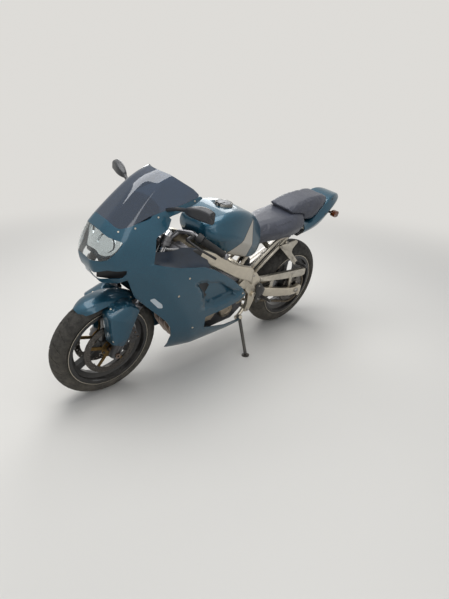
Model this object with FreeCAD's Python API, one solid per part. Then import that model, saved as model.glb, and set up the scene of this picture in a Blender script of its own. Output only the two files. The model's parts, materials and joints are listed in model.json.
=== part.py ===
import FreeCAD, Part
import math
import os

os.makedirs("parts", exist_ok=True)

# A sport motorcycle with a full fairing, parked on its side stand with the bars straight.
# It is drawn upright, in millimetres: x forward, y to the rider's left, z up, with the origin on the
# ground midway between the axles. The last step leans it on its stand.

# Driving dimensions
wheelbase = 1400.0
rake = 24.0  # steering axis back from vertical, degrees
fork_offset = 35.0  # axle ahead of the steering axis
lean = 10.7  # degrees to the left, on the side stand

front_radius = 300.0
front_section = 60.0  # half the tyre's width, and the radius of its crown
rear_radius = 318.0
rear_section = 86.0
rim_radius = 216.0  # bead seat of a 17 inch rim
flange_height = 14.0
front_bead = 46.0  # half the width between the rim's flanges
rear_bead = 66.0
tyre_wall = 9.0
rim_wall = 7.0

front_disc_radius = 149.0
front_disc_y = 55.5  # middle of each front disc
rear_disc_radius = 110.0
rear_disc_y = -84.0
disc_thickness = 5.0

leg_spacing = 103.0  # each fork leg from the middle plane
tube_radius = 20.5
slider_radius = 28.0
axle_radius = 10.0
running_clearance = 0.05

pivot_x = -245.0
pivot_z = 410.0
beam_y = 132.0  # middle of each swingarm beam
beam_width = 28.0

chain_y = 104.0
chain_pitch = 15.875
rear_teeth = 45
front_teeth = 15
engine_sprocket_x = -162.0
engine_sprocket_z = 414.0

skin = 4.0  # thickness of the painted panels
seat_gap = 0.3  # between pieces that rest on each other

half = wheelbase / 2
V = FreeCAD.Vector

most_of_run = 0.48  # the share of a straight side that one rounded corner may take


# Shape helpers
def rounded(points, radii):
    """A closed wire through the points, each corner rounded by its own radius."""
    count = len(points)
    entries = []
    exits = []
    middles = []
    for i in range(count):
        corner = points[i]
        last_run = points[i - 1] - corner
        next_run = points[(i + 1) % count] - corner
        room = most_of_run * min(last_run.Length, next_run.Length)
        to_last = last_run.normalize()
        to_next = next_run.normalize()
        angle = to_last.getAngle(to_next)
        if radii[i] <= 0 or math.pi - angle < 0.001:
            entries.append(corner)
            exits.append(corner)
            middles.append(None)
            continue
        back = min(radii[i] / math.tan(angle / 2), room)
        radius = back * math.tan(angle / 2)
        inward = (to_last + to_next).normalize()
        centre = corner + inward * (radius / math.sin(angle / 2))
        entries.append(corner + to_last * back)
        exits.append(corner + to_next * back)
        middles.append(centre - inward * radius)
    edges = []
    for i in range(count):
        if middles[i] is not None:
            edges.append(Part.Arc(entries[i], middles[i], exits[i]).toShape())
        following = entries[(i + 1) % count]
        if (following - exits[i]).Length > 0.001:
            edges.append(Part.LineSegment(exits[i], following).toShape())
    return Part.Wire(edges)


def place(axis, u, v, along):
    """A point from its two coordinates square to an axis, in x, y, z order, and its place along it."""
    if axis == "x":
        return V(along, u, v)
    if axis == "y":
        return V(u, along, v)
    return V(u, v, along)


def outline(corners, axis, along):
    """A wire from corners of (u, v, radius) in the plane square to an axis."""
    points = [place(axis, c[0], c[1], along) for c in corners]
    return rounded(points, [c[2] for c in corners])


def slab(corners, axis, low, high):
    """A flat plate with rounded corners, from low to high along an axis."""
    face = Part.Face(outline(corners, axis, low))
    return face.extrude(place(axis, 0, 0, high - low))


def loft(wires):
    return Part.makeLoft(wires, True, False)


def ruled(wires):
    return Part.makeLoft(wires, True, True)


def rod(start, end, radius, end_radius=None):
    """A round bar between two points, tapered where a second radius is given."""
    start = V(*start)
    run = V(*end) - start
    if end_radius is None or end_radius == radius:
        return Part.makeCylinder(radius, run.Length, start, run)
    return Part.makeCone(radius, end_radius, run.Length, start, run)


def bent(points, radius, bend, wall=0.0):
    """A round tube along points, each inner corner an arc; solid where it has no wall."""
    points = [V(*p) for p in points]
    edges = []
    last = points[0]
    for i in range(1, len(points) - 1):
        corner = points[i]
        to_last = (points[i - 1] - corner).normalize()
        to_next = (points[i + 1] - corner).normalize()
        angle = to_last.getAngle(to_next)
        back = bend / math.tan(angle / 2)
        inward = (to_last + to_next).normalize()
        middle = corner + inward * (bend / math.sin(angle / 2) - bend)
        entry = corner + to_last * back
        leave = corner + to_next * back
        edges.append(Part.LineSegment(last, entry).toShape())
        edges.append(Part.Arc(entry, middle, leave).toShape())
        last = leave
    edges.append(Part.LineSegment(last, points[-1]).toShape())
    path = Part.Wire(edges)
    run = points[1] - points[0]
    pipe = path.makePipeShell([Part.Wire([Part.Circle(points[0], run, radius).toShape()])], True, False)
    if wall > 0:
        bore = Part.Wire([Part.Circle(points[0], run, radius - wall).toShape()])
        pipe = pipe.cut(path.makePipeShell([bore], True, False))
    return pipe


def turned(profile, centre):
    """A ring about a lateral axis, from a closed wire profile in (radius, y) drawn at the centre."""
    return Part.Face(profile).revolve(centre, V(0, 1, 0), 360)


def hub(centre, radius, low, high, bore=0.0):
    """A lateral cylinder about a centre, from low to high in y."""
    start = V(centre.x, low, centre.z)
    body = Part.makeCylinder(radius, high - low, start, V(0, 1, 0))
    if bore > 0:
        body = body.cut(Part.makeCylinder(bore, high - low, start, V(0, 1, 0)))
    return body


def mirrored(shape):
    return shape.mirror(V(0, 0, 0), V(0, 1, 0))


def both(shape):
    """A left-hand piece and its right-hand twin."""
    return Part.makeCompound([shape, mirrored(shape)])


def fused(shapes):
    joined = shapes[0].multiFuse(shapes[1:])
    return joined.removeSplitter()


def turn_about(shape, centre, direction, angle):
    copy = shape.copy()
    copy.rotate(centre, direction, angle)
    return copy


def solids_of(shape):
    found = shape.Solids
    if len(found) == 1:
        return found[0]
    return Part.makeCompound(found)


def head_frame():
    """From the fork's own frame, upright along the steering axis, to the bike's frame.

    In the fork's frame the axle lies at (fork_offset, 0, 0) and z runs up the steering axis.
    """
    angle = math.radians(rake)
    foot = V(half - fork_offset * math.cos(angle), 0, front_radius - fork_offset * math.sin(angle))
    return FreeCAD.Placement(foot, FreeCAD.Rotation(V(0, 1, 0), -rake))


def from_fork(shape):
    copy = shape.copy()
    copy.Placement = head_frame().multiply(copy.Placement)
    return copy


front_centre = V(half, 0, front_radius)
rear_centre = V(-half, 0, rear_radius)

# Wheels
spoke_count = 3
shoulder_angle = 72.0  # where a tyre's crown ends, from its top


def tyre(centre, radius, section, bead):
    """An arched tyre: a round crown, walls that turn in over the flanges to the beads, and a hollow."""
    crown_r = radius - section
    bend = math.radians(shoulder_angle)
    flange_r = rim_radius + flange_height + 0.5

    def side(reach, wall):
        """Corners of one half, from the crown down to the bead, as (y, radius)."""
        shoulder = (reach * math.sin(bend), crown_r + reach * math.cos(bend))
        foot = bead - wall
        bulge = (foot + 0.85 * (shoulder[0] - foot), flange_r + 12)
        return [shoulder, bulge, (foot, flange_r), (foot, rim_radius)]

    def at(corner, sign):
        return V(centre.x, sign * corner[0], centre.z + corner[1])

    def walls(reach, wall, sign):
        shoulder, bulge, flange, foot = [at(c, sign) for c in side(reach, wall)]
        return [Part.Arc(shoulder, bulge, flange).toShape(), Part.LineSegment(flange, foot).toShape()]

    edges = []
    for reach, wall in ((section, 0.0), (section - tyre_wall, tyre_wall)):
        shoulder = side(reach, wall)[0]
        top = V(centre.x, 0, centre.z + crown_r + reach)
        edges.append(Part.Arc(at(shoulder, -1), top, at(shoulder, 1)).toShape())
        edges += walls(reach, wall, 1) + walls(reach, wall, -1)
    for sign in (-1, 1):
        outer_foot = at((bead, rim_radius), sign)
        inner_foot = at((bead - tyre_wall, rim_radius), sign)
        edges.append(Part.LineSegment(outer_foot, inner_foot).toShape())
    return turned(Part.Wire(Part.__sortEdges__(edges)), centre)


def rim(centre, bead, hub_radius, hub_half, bore, spoke_root, spoke_tip, spoke_depth):
    """A cast wheel: a well-based barrel with flanges, three hollow-backed spokes and a hub."""
    seat = rim_radius - 0.3
    lip = rim_radius + flange_height
    well = seat - 24
    edge = bead + rim_wall
    drop = bead - 18
    # columns: y, radius
    outside = [(edge, lip), (bead + 0.5, lip), (bead + 0.5, seat), (drop, seat), (drop - 14, well)]
    inside = [(drop - 16, well - rim_wall), (drop - 4, seat - rim_wall), (edge, seat - rim_wall)]
    ring = outside + [(-y, r) for y, r in reversed(outside)]
    ring += [(-y, r) for y, r in reversed(inside)] + inside
    points = [V(centre.x, y, centre.z + r) for y, r in ring]
    barrel = turned(Part.makePolygon(points + [points[0]]), centre)
    middle = hub(centre, hub_radius, -hub_half, hub_half)
    reach = well - rim_wall + 2
    arms = []
    for i in range(spoke_count):
        # columns: distance from the hub's middle, half width, half depth
        stations = [(hub_radius - 12, spoke_root, spoke_depth),
                    (reach * 0.55, spoke_tip * 0.8, spoke_depth * 0.85),
                    (reach, spoke_tip, spoke_depth * 0.75)]
        wires = []
        for out, wide, deep in stations:
            z = centre.z + out
            corners = [(centre.x - wide, -deep, 6), (centre.x + wide, -deep, 6),
                       (centre.x + wide, deep, 6), (centre.x - wide, deep, 6)]
            wires.append(outline(corners, "z", z))
        arm = ruled(wires)
        arms.append(turn_about(arm, centre, V(0, 1, 0), 360.0 * i / spoke_count))
    whole = fused([barrel, middle] + arms)
    return whole.cut(hub(centre, bore, -hub_half - 1, hub_half + 1))


def disc(centre, y, outer, inner, boss, arms):
    """A brake disc: a drilled ring on a thin carrier that seats on the hub's end."""
    low = y - disc_thickness / 2
    high = y + disc_thickness / 2
    ring = hub(centre, outer, low, high, inner)
    holes = []
    for row, spin in ((0.30, 0.0), (0.55, 7.5), (0.80, 15.0)):
        r = inner + (outer - inner) * row
        for i in range(16):
            angle = math.radians(i * 22.5 + spin)
            at = V(centre.x + r * math.cos(angle), 0, centre.z + r * math.sin(angle))
            holes.append(hub(at, 3.0, low - 1, high + 1))
    ring = ring.cut(Part.makeCompound(holes))
    pieces = [ring, hub(centre, boss, low, high, disc_bore)]
    for i in range(arms):
        arm = slab([(centre.x - 9, centre.z + boss - 6, 0), (centre.x + 9, centre.z + boss - 6, 0),
                    (centre.x + 9, centre.z + inner + 6, 0), (centre.x - 9, centre.z + inner + 6, 0)],
                   "y", low, high)
        pieces.append(turn_about(arm, centre, V(0, 1, 0), 360.0 * i / arms))
    return fused(pieces)


disc_bore = 20.0
front_hub_half = front_disc_y - disc_thickness / 2
rear_hub_half = -rear_disc_y - disc_thickness / 2


def front_tyre():
    return tyre(front_centre, front_radius, front_section, front_bead)


def front_rim():
    bore = axle_radius + running_clearance
    return rim(front_centre, front_bead, 34, front_hub_half, bore, 30, 24, 20)


def front_discs():
    return both(disc(front_centre, front_disc_y, front_disc_radius, 116, 51, 5))


def rear_tyre():
    return tyre(rear_centre, rear_radius, rear_section, rear_bead)


def rear_rim():
    bore = axle_radius + running_clearance
    return rim(rear_centre, rear_bead, 48, rear_hub_half, bore, 34, 26, 26)


def rear_disc():
    return disc(rear_centre, rear_disc_y, rear_disc_radius, 82, 60, 5)


def sprocket(centre, teeth, y, thickness, bore):
    """A chain wheel, its teeth standing between the rollers."""
    pitch_radius = chain_pitch / (2 * math.sin(math.pi / teeth))
    roller = 5.3
    blank = hub(centre, pitch_radius + 4.2, y - thickness / 2, y + thickness / 2)
    gaps = []
    for i in range(teeth):
        angle = 2 * math.pi * i / teeth
        at = V(centre.x + pitch_radius * math.cos(angle), 0, centre.z + pitch_radius * math.sin(angle))
        gaps.append(hub(at, roller, y - thickness, y + thickness))
    return blank.cut(Part.makeCompound(gaps)).cut(hub(centre, bore, y - thickness, y + thickness))


def rear_sprocket():
    wheel = sprocket(rear_centre, rear_teeth, chain_y, 6, 44)
    windows = []
    for i in range(5):
        angle = math.radians(72 * i + 36)
        at = V(rear_centre.x + 76 * math.cos(angle), 0, rear_centre.z + 76 * math.sin(angle))
        windows.append(hub(at, 17, chain_y - 10, chain_y + 10))
    wheel = wheel.cut(Part.makeCompound(windows))
    carrier = hub(rear_centre, 58, rear_hub_half, chain_y - 3, 40)
    return fused([wheel, carrier])


# Chain run
def chain_line():
    """Centres, radii and the straight runs' ends of the chain, in side view."""
    small = V(engine_sprocket_x, 0, engine_sprocket_z)
    big = rear_centre
    r_small = chain_pitch / (2 * math.sin(math.pi / front_teeth))
    r_big = chain_pitch / (2 * math.sin(math.pi / rear_teeth))
    run = big - small
    base = math.atan2(run.z, run.x)
    tilt = math.acos((r_small - r_big) / run.Length)
    ends = []
    for side in (-1, 1):
        angle = base + side * tilt
        out = V(math.cos(angle), 0, math.sin(angle))
        ends.append((small + out * r_small, big + out * r_big))
    return small, r_small, big, r_big, ends


def drive_chain():
    """Two rows of side plates outside the teeth, with rollers on the straight runs."""
    small, r_small, big, r_big, ends = chain_line()
    upper, lower = sorted(ends, key=lambda e: -(e[0].z + e[1].z))
    clear_of_small = 22.0
    clear_of_big = 58.0
    plate = 1.8
    gap = 4.2  # from the sprocket's middle to the inner face of a plate
    wide = 7.2

    def loop(offset):
        mids = []
        for centre, reach, first, last, outward in ((big, r_big, upper[1], lower[1], V(-1, 0, 0)),
                                                    (small, r_small, lower[0], upper[0], V(1, 0, 0))):
            mids.append((centre, reach, first, last, outward))
        edges = []
        moved = []
        for centre, reach, first, last, outward in mids:
            grow = (reach + offset) / reach
            a = centre + (first - centre) * grow
            b = centre + (last - centre) * grow
            moved.append((a, centre + outward * (reach + offset), b))
        edges.append(Part.Arc(*moved[0]).toShape())
        edges.append(Part.LineSegment(moved[0][2], moved[1][0]).toShape())
        edges.append(Part.Arc(*moved[1]).toShape())
        edges.append(Part.LineSegment(moved[1][2], moved[0][0]).toShape())
        return Part.Face(Part.Wire(edges))

    band = loop(wide).cut(loop(-wide)).Faces[0]
    rows = []
    for low in (chain_y + gap, chain_y - gap - plate):
        row = band.copy()
        row.translate(V(0, low, 0))
        rows.append(row.extrude(V(0, plate, 0)))
    pins = []
    for start, end in (upper, lower):
        run = end - start
        count = int((run.Length - clear_of_small - clear_of_big) / chain_pitch)
        along = V(run).normalize()
        for i in range(count + 1):
            at = start + along * (clear_of_small + chain_pitch * i)
            pins.append(hub(at, 4.6, chain_y - gap - plate + 0.2, chain_y + gap + plate - 0.2))
    chain = fused(rows + pins)
    wheel = sprocket(small, front_teeth, chain_y, 2 * gap - 0.6, 12)
    return Part.makeCompound([chain, wheel])


# Swingarm
def tube_section(y, wide, z, high, inner_radius, outer_radius):
    """Corners of a box section by its middle and half sizes, its inner and outer edges rounded."""
    return [(y - wide, z - high, inner_radius), (y + wide, z - high, outer_radius),
            (y + wide, z + high, outer_radius), (y - wide, z + high, inner_radius)]


def swingarm_beam():
    """The left beam, from the pivot back past the axle."""
    # columns: x, middle y, half width, middle z, half height
    stations = [(pivot_x + 6, 104, 15, pivot_z, 23), (pivot_x - 90, 110, 15, pivot_z - 22, 31),
                (-540, beam_y, beam_width / 2, 338, 32), (-half - 62, beam_y, beam_width / 2, 306, 26)]
    wires = []
    for x, y, wide, z, high in stations:
        wires.append(outline(tube_section(y, wide, z, high, 7, 7), "x", x))
    return loft(wires)


spool_x = -half - 36
spool_z = rear_radius - 38
shock_low = V(pivot_x - 68, 0, pivot_z + 34)
shock_high = V(pivot_x - 30, 0, pivot_z + 206)
shock_lug = (14.0, 22.0)  # the inner and outer faces of each lug that holds the damper
shock_pin = 6.0
spring_radius = 32.0
damper_radius = 12.0


def swingarm():
    """Two box beams on a cross tube, with axle plates and stand spools at the back and the pivot bolt."""
    low = beam_y - beam_width / 2
    high = beam_y + beam_width / 2
    plate = slab([(-half + 66, rear_radius - 34, 12), (-half + 66, rear_radius + 20, 18),
                  (-half - 60, rear_radius + 30, 20), (-half - 60, rear_radius - 36, 14)], "y", low, high)
    spool = rod((spool_x, low, spool_z), (spool_x, high + 6, spool_z), 14)
    lug = slab([(shock_low.x - 15, pivot_z + 8, 0), (shock_low.x + 15, pivot_z + 8, 0),
                (shock_low.x + 12, shock_low.z + 12, 10), (shock_low.x - 12, shock_low.z + 12, 10)],
               "y", shock_lug[0], shock_lug[1])
    beside_frame = Part.makeBox(60, plate_y[1] - plate_y[0], 140,
                                V(pivot_x - 51, plate_y[0] - seat_gap, pivot_z - 70))
    left = fused([swingarm_beam().cut(beside_frame), plate, spool])
    left = left.cut(rod((spool_x, low - 1, spool_z), (spool_x, high + 8, spool_z), 4.0))
    tube = rod((pivot_x, -115, pivot_z), (pivot_x, 115, pivot_z), 24)
    bridge = slab([(pivot_x - 96, pivot_z - 44, 8), (pivot_x - 40, pivot_z - 30, 8),
                   (pivot_x - 40, pivot_z + 16, 8), (pivot_x - 96, pivot_z + 12, 8)], "y", -112, 112)
    bolt = fused([rod((pivot_x, -158, pivot_z), (pivot_x, 158, pivot_z), 9),
                  rod((pivot_x, plate_y[1], pivot_z), (pivot_x, 158, pivot_z), 17),
                  rod((pivot_x, -158, pivot_z), (pivot_x, -plate_y[1], pivot_z), 17)])
    whole = fused([left, mirrored(left), tube, bridge, bolt, lug, mirrored(lug)])
    whole = whole.cut(rod((shock_low.x, -30, shock_low.z), (shock_low.x, 30, shock_low.z), shock_pin))
    return whole.cut(hub(rear_centre, axle_radius, -200, 200))


def rear_axle(arm):
    """The axle, its nuts outside the beams and the spacers each side of the hub."""
    outer = beam_y + beam_width / 2
    inner = beam_y - beam_width / 2
    pieces = [hub(rear_centre, axle_radius, -outer - 16, outer + 16)]
    pieces.append(hub(rear_centre, 18, outer, outer + 10))
    pieces.append(hub(rear_centre, 18, -outer - 10, -outer))
    pieces.append(hub(rear_centre, 16, rear_hub_half + 1, inner))
    pieces.append(hub(rear_centre, 16, -inner, rear_disc_y - disc_thickness / 2 - 1))
    whole = fused(pieces).cut(arm)
    return whole.cut(hub(rear_centre, 5, -outer - 20, outer + 20))


def chain_guard(arm):
    """A long cover over the chain's upper run, with an outer lip and two feet on the swingarm."""
    corners = [(-330, 462, 10), (-330, 492, 14), (-560, 474, 60), (-800, 452, 16), (-806, 402, 10),
               (-760, 398, 6), (-560, 424, 60)]
    lip = slab(corners, "y", 117, 120)
    top = [(-330, 486, 0), (-330, 490, 0), (-800, 450, 0), (-800, 446, 0)]
    roof = slab(top, "y", 94, 119)
    feet = []
    for x in (-450, -650):
        foot = slab([(x - 12, 330, 0), (x + 12, 330, 0), (x + 16, 440, 0), (x - 16, 440, 0)], "y", 117, 121)
        feet.append(foot)
    return fused([lip, roof] + feet).cut(arm)


def rear_shock():
    """The damper in its spring, between the swingarm and the frame."""
    run = shock_high - shock_low
    along = V(run).normalize()
    length = run.Length
    face = shock_lug[0] - seat_gap
    body = Part.makeCylinder(damper_radius, length - 20, shock_low + along * 10, run)
    spring = Part.makeCylinder(spring_radius, length - 86, shock_low + along * 34, run)
    for i in range(5):
        groove_foot = shock_low + along * (46 + 16 * i)
        ring = Part.makeCylinder(spring_radius, 5, groove_foot, run)
        spring = spring.cut(ring.cut(Part.makeCylinder(spring_radius - 5, 5, groove_foot, run)))
    ends = (shock_low, shock_high)
    tip = shock_lug[1] + 4
    eyes = [rod((p.x, -face, p.z), (p.x, face, p.z), 13) for p in ends]
    pins = [rod((p.x, -tip, p.z), (p.x, tip, p.z), shock_pin) for p in ends]
    return fused([body, spring] + eyes + pins)


# Frame
plate_y = (122.0, 146.0)  # the swingarm plates' inner and outer faces
stem_radius = 15.0
head_bottom = 462.0  # along the steering axis
head_top = 620.0
stand_pivot = V(-162, 148, 262)  # the middle of the side stand's eye
foot_ground = (-140.0, 284.0)  # where its foot rests, in the leaned bike's x and y
stand_eye = 8.0  # half the eye's width
stand_pin = 7.0


def upright_point(x, y, z):
    """The place in the upright bike of a point given in the leaned one, on its front tyre's lift."""
    angle = math.radians(lean)
    z = z - front_section * (1 - math.cos(angle))
    return V(x, y * math.cos(angle) - z * math.sin(angle), y * math.sin(angle) + z * math.cos(angle))


def stand_axis():
    """The side stand's hinge, square to the leg both down and folded back along the bike."""
    down = upright_point(foot_ground[0], foot_ground[1], 8) - stand_pivot
    folded = V(-0.992, 0.12, 0.04)
    return down.cross(folded).normalize()


def spar():
    # columns: x, middle y, half width, middle z, half height
    stations = [(440, 34, 14, 784, 50), (330, 105, 15, 778, 42), (225, 150, 16, 772, 44),
                (80, 166, 17, 702, 42), (-90, 160, 17, 610, 44), (-215, 138, 14, 538, 52)]
    wires = []
    for x, y, wide, z, high in stations:
        wires.append(outline(tube_section(y, wide, z, high, 8, 12), "x", x))
    return loft(wires)


def main_frame():
    """Twin alloy spars from the steering head to the swingarm plates, with cross members and lugs."""
    low_end = head_frame().multVec(V(0, 0, head_bottom))
    up = head_frame().multVec(V(0, 0, head_top)) - low_end
    head = Part.makeCylinder(34, up.Length, low_end, up)
    plate = slab([(-173, 560, 20), (-240, 572, 30), (-292, 508, 14), (-290, 455, 10), (-276, 405, 20),
                  (-262, 345, 20), (-240, 288, 12), (-196, 288, 12), (-212, 350, 30), (-204, 420, 20),
                  (-166, 472, 10), (-108, 476, 10), (-104, 514, 12)], "y", plate_y[0], plate_y[1])
    left = fused([spar(), plate])
    cross_high = rod((-225, -130, 548), (-225, 130, 548), 20)
    cross_low = rod((-222, -130, 304), (-222, 130, 304), 14)
    tank_rest = Part.makeBox(20, 304, 64, V(60, -152, 710)).cut(tank_form(seat_gap))
    lug = slab([(-244, 552, 6), (-214, 552, 6), (shock_high.x + 14, shock_high.z + 4, 12),
                (shock_high.x - 6, shock_high.z + 15, 12), (shock_high.x - 15, shock_high.z - 4, 8)],
               "y", shock_lug[0], shock_lug[1])
    axis = stand_axis()
    boss = Part.makeCylinder(17, 26, stand_pivot - axis * (stand_eye + seat_gap + 26), axis)
    arm_end = stand_pivot - axis * 30
    bracket = rod((-206, 126, 302), (arm_end.x, arm_end.y, arm_end.z), 12)
    pin = Part.makeCylinder(stand_pin, 2 * stand_eye + 12, stand_pivot - axis * (stand_eye + 6), axis)
    nut = Part.makeCylinder(12, 6, stand_pivot + axis * (stand_eye + seat_gap), axis)
    stand_lug = [boss, bracket, pin, nut]
    sides = [left, mirrored(left), lug, mirrored(lug)]
    whole = fused(sides + [head, cross_high, cross_low, tank_rest] + stand_lug)
    whole = whole.cut(rod((pivot_x, -160, pivot_z), (pivot_x, 160, pivot_z), 9))
    whole = whole.cut(rod((shock_high.x, -30, shock_high.z), (shock_high.x, 30, shock_high.z), shock_pin))
    bore_foot = low_end - V(up).normalize() * 40
    return whole.cut(Part.makeCylinder(stem_radius + running_clearance, 260, bore_foot, up))


rail = [(-200, 112, 566), (-430, 100, 719.7), (-900, 72, 835)]  # the middle line of each upper rail
rail_radius = 12.0


def subframe(frame):
    """Steel tubes from the spars back under the seats and the tail."""
    upper = bent(rail, rail_radius, 120)
    lower = bent([(-262, 112, 545), (-470, 104, 690), (-560, 95, 744)], 11, 90)
    loop = rod((-900, -84, 835), (-900, 84, 835), 11)
    ties = []
    for share in (0.2, 0.5):
        at = V(*rail[1]) + (V(*rail[2]) - V(*rail[1])) * share
        ties.append(rod((at.x, -150, at.z), (at.x, 150, at.z), 8).common(tail_or_rails(at.x)))
    return fused([upper, mirrored(upper), lower, mirrored(lower), loop] + ties).cut(frame)


def tail_or_rails(x):
    """Where a tie of the subframe may run: to the rails under the seat, to the cowl's walls behind it."""
    if x > tail_front:
        return Part.makeBox(800, 200, 800, V(-1000, -100, 300))
    return tail_form(skin + seat_gap, skin + 20)


# Engine
case_y = 118.0  # half the crankcase's width


def engine():
    """The engine as a plain block at its real size: crankcase, sump and sloping cylinders."""
    case = slab([(-196, 330, 30), (-150, 528, 30), (60, 540, 30), (300, 470, 40), (310, 340, 50),
                 (220, 262, 40), (60, 250, 20), (-110, 262, 40)], "y", -case_y, case_y)
    sump = slab([(30, 270, 10), (210, 270, 10), (180, 216, 20), (60, 212, 20)], "y", -90, 90)
    barrels = slab([(40, 520, 10), (250, 470, 10), (340, 660, 20), (316, 708, 20), (160, 740, 20)],
                   "y", -128, 128)
    mounts = [rod((200, -150, 722), (200, 150, 722), 15),
              rod((-124, -plate_y[0], 496), (-124, plate_y[0], 496), 12)]
    pocket = fused([hub(V(engine_sprocket_x, 0, engine_sprocket_z), 60, chain_y - 14, case_y + 1),
                    Part.makeBox(80, case_y + 15 - chain_y, 120,
                                 V(engine_sprocket_x - 80, chain_y - 14, engine_sprocket_z - 60))])
    shaft = rod((engine_sprocket_x, 80, engine_sprocket_z),
                (engine_sprocket_x, case_y + 2, engine_sprocket_z), 12)
    # columns: x, z, radius, depth, side
    table = [(130, 400, 68, 46, 1), (-140, 414, 50, 22, 1), (130, 400, 56, 40, -1), (-40, 400, 76, 44, -1)]
    covers = []
    for x, z, radius, depth, side in table:
        start = (x, side * case_y, z)
        rim_at = (x, side * (case_y + depth * 0.7), z)
        end = (x, side * (case_y + depth), z)
        covers.append(fused([rod(start, rim_at, radius), rod(rim_at, end, radius, radius * 0.8)]))
    block = fused([case, sump, barrels] + mounts).cut(pocket)
    return fused([block, shaft] + covers).cut(spar()).cut(mirrored(spar()))


def radiator():
    """A cross-flow core in a frame, leaning back behind the front wheel."""
    core = slab([(352, 392, 4), (386, 380, 4), (442, 654, 4), (408, 666, 4)], "y", -143, 143)
    tanks = slab([(348, 388, 6), (390, 374, 6), (446, 660, 6), (404, 672, 6)], "y", 143, 163)
    stay = rod((423, 62, 658), (404, 60, 770), 7).cut(spar())
    return fused([core, tanks, mirrored(tanks), stay, mirrored(stay)])


silencer_y = -198.0


def exhaust():
    """Four headers under the engine into one pipe, and an oval can rising beside the back wheel."""
    pipes = []
    for y in (-84, -28, 28, 84):
        route = [(290, y, 645), (346, y, 560), (318, y * 0.9, 300), (250, y * 0.7, 190),
                 (130, y * 0.45 - 20, 170)]
        pipes.append(bent(route, 17, 40))
    box = ruled([outline([(-80, 150, 18), (40, 150, 18), (40, 190, 18), (-80, 190, 18)], "x", 142),
                 outline([(-90, 148, 26), (-36, 148, 26), (-36, 202, 26), (-90, 202, 26)], "x", 10)])
    tail = bent([(20, -64, 176), (-150, -104, 190), (-330, -186, 258), (-430, silencer_y, 302)], 24, 90)
    wires = []
    # columns: x, z, half height, half width
    stations = [(-420, 300, 26, 24), (-470, 324, 52, 40), (-780, 470, 56, 42), (-812, 486, 42, 32)]
    for x, z, high, wide in stations:
        round_edge = wide * 0.9
        wires.append(outline(tube_section(silencer_y, wide, z, high, round_edge, round_edge), "x", x))
    can = ruled(wires).cut(rod((-700, silencer_y, 440), (-840, silencer_y, 499), 20))
    return fused(pipes + [box, tail, can]).cut(engine())


# Tank, seats and tail
def tank_form(grow):
    """The tank's outside from sections across it; grow moves every face out by that much."""
    # columns: x, foot y, foot z, widest y, widest z, shoulder y, shoulder z, crown z
    sections = [(190, 60, 815, 120, 870, 92, 930, 946),
                (120, 110, 788, 172, 868, 132, 962, 980),
                (20, 132, 738, 182, 850, 138, 980, 996),
                (-90, 122, 694, 164, 800, 130, 966, 986),
                (-190, 108, 664, 138, 760, 104, 926, 948),
                (-258, 96, 680, 114, 750, 86, 866, 884)]
    wires = []
    for x, foot_y, foot_z, wide_y, wide_z, top_y, top_z, crown in sections:
        half_ring = [(foot_y + grow, foot_z - grow, 20), (wide_y + grow, wide_z, 60),
                     (top_y + grow, top_z + grow, 50)]
        ring = half_ring + [(-y, z, r) for y, z, r in reversed(half_ring)]
        wires.append(outline(ring, "x", x))
    return loft(wires)


cap_x = -20.0
cap_radius = 38.0
neck_radius = 26.0
lid_depth = 12.0
cap_hinge_reach = 46.0  # from the lid's middle forward to its hinge
cap_hinge_rise = 7.2
cap_barrel = 9.0  # half the length of the lid's barrel


def cap_place():
    return V(cap_x, 0, 986.0)


def fuel_tank():
    shell = tank_form(0)
    centre = cap_place()
    up = V(0, 0, 1)
    seat = Part.makeCylinder(cap_radius + 15, 40, V(centre.x, 0, centre.z - 18), up)
    ring = Part.makeCylinder(cap_radius + 12, 22, V(centre.x, 0, centre.z - 19), up)
    pocket = Part.makeCylinder(cap_radius + 2.2, 30, V(centre.x, 0, centre.z - 8), up)
    neck = Part.makeCylinder(neck_radius, 90, V(centre.x, 0, centre.z - 80), up)
    x = centre.x + cap_hinge_reach
    z = centre.z + cap_hinge_rise
    base = centre.z + 2.5
    knuckle = fused([rod((x, cap_barrel + seat_gap, z), (x, cap_barrel + 7, z), 3.6),
                     Part.makeBox(7.2, 7 - seat_gap, z - base, V(x - 3.6, cap_barrel + seat_gap, base))])
    pin = rod((x, -cap_barrel - 6, z), (x, cap_barrel + 6, z), 1.5)
    body = fused([shell.cut(seat), ring]).cut(pocket).cut(neck)
    return fused([body, knuckle, mirrored(knuckle), pin])


def fuel_cap():
    """A round lid over the neck, hinged at its front edge."""
    centre = cap_place()
    x = centre.x + cap_hinge_reach
    z = centre.z + cap_hinge_rise
    lid = Part.makeCylinder(cap_radius, lid_depth, V(centre.x, 0, centre.z - 7.5))
    tongue = Part.makeBox(cap_hinge_reach, 2 * cap_barrel, 2.6, V(centre.x, -cap_barrel, centre.z + 3.6))
    barrel = rod((x, -cap_barrel, z), (x, cap_barrel, z), 3.6)
    return fused([lid, tongue, barrel]).cut(rod((x, -20, z), (x, 20, z), 1.5 + running_clearance))


def rider_seat():
    """The rider's cushion: dished, with flanks down beside the frame."""
    # columns: x, foot y, foot z, widest y, widest z, shoulder y, shoulder z, crown z
    sections = [(-258.3, 84, 700, 108, 770, 72, 826, 834),
                (-330, 108, 724, 140, 786, 100, 842, 850),
                (-430, 126, 732, 158, 800, 122, 856, 862),
                (-520, 124, 732, 156, 812, 124, 874, 880),
                (tail_front + seat_gap, 112, 736, 140, 820, 108, 880, 888)]
    wires = []
    for x, foot_y, foot_z, wide_y, wide_z, top_y, top_z, crown in sections:
        half_ring = [(foot_y, foot_z, 16), (wide_y, wide_z, 40), (top_y, top_z, 30), (top_y * 0.4, crown, 80)]
        ring = half_ring + [(-y, z, r) for y, z, r in reversed(half_ring)]
        wires.append(outline(ring, "x", x))
    return loft(wires).cut(over_rails())


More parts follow.
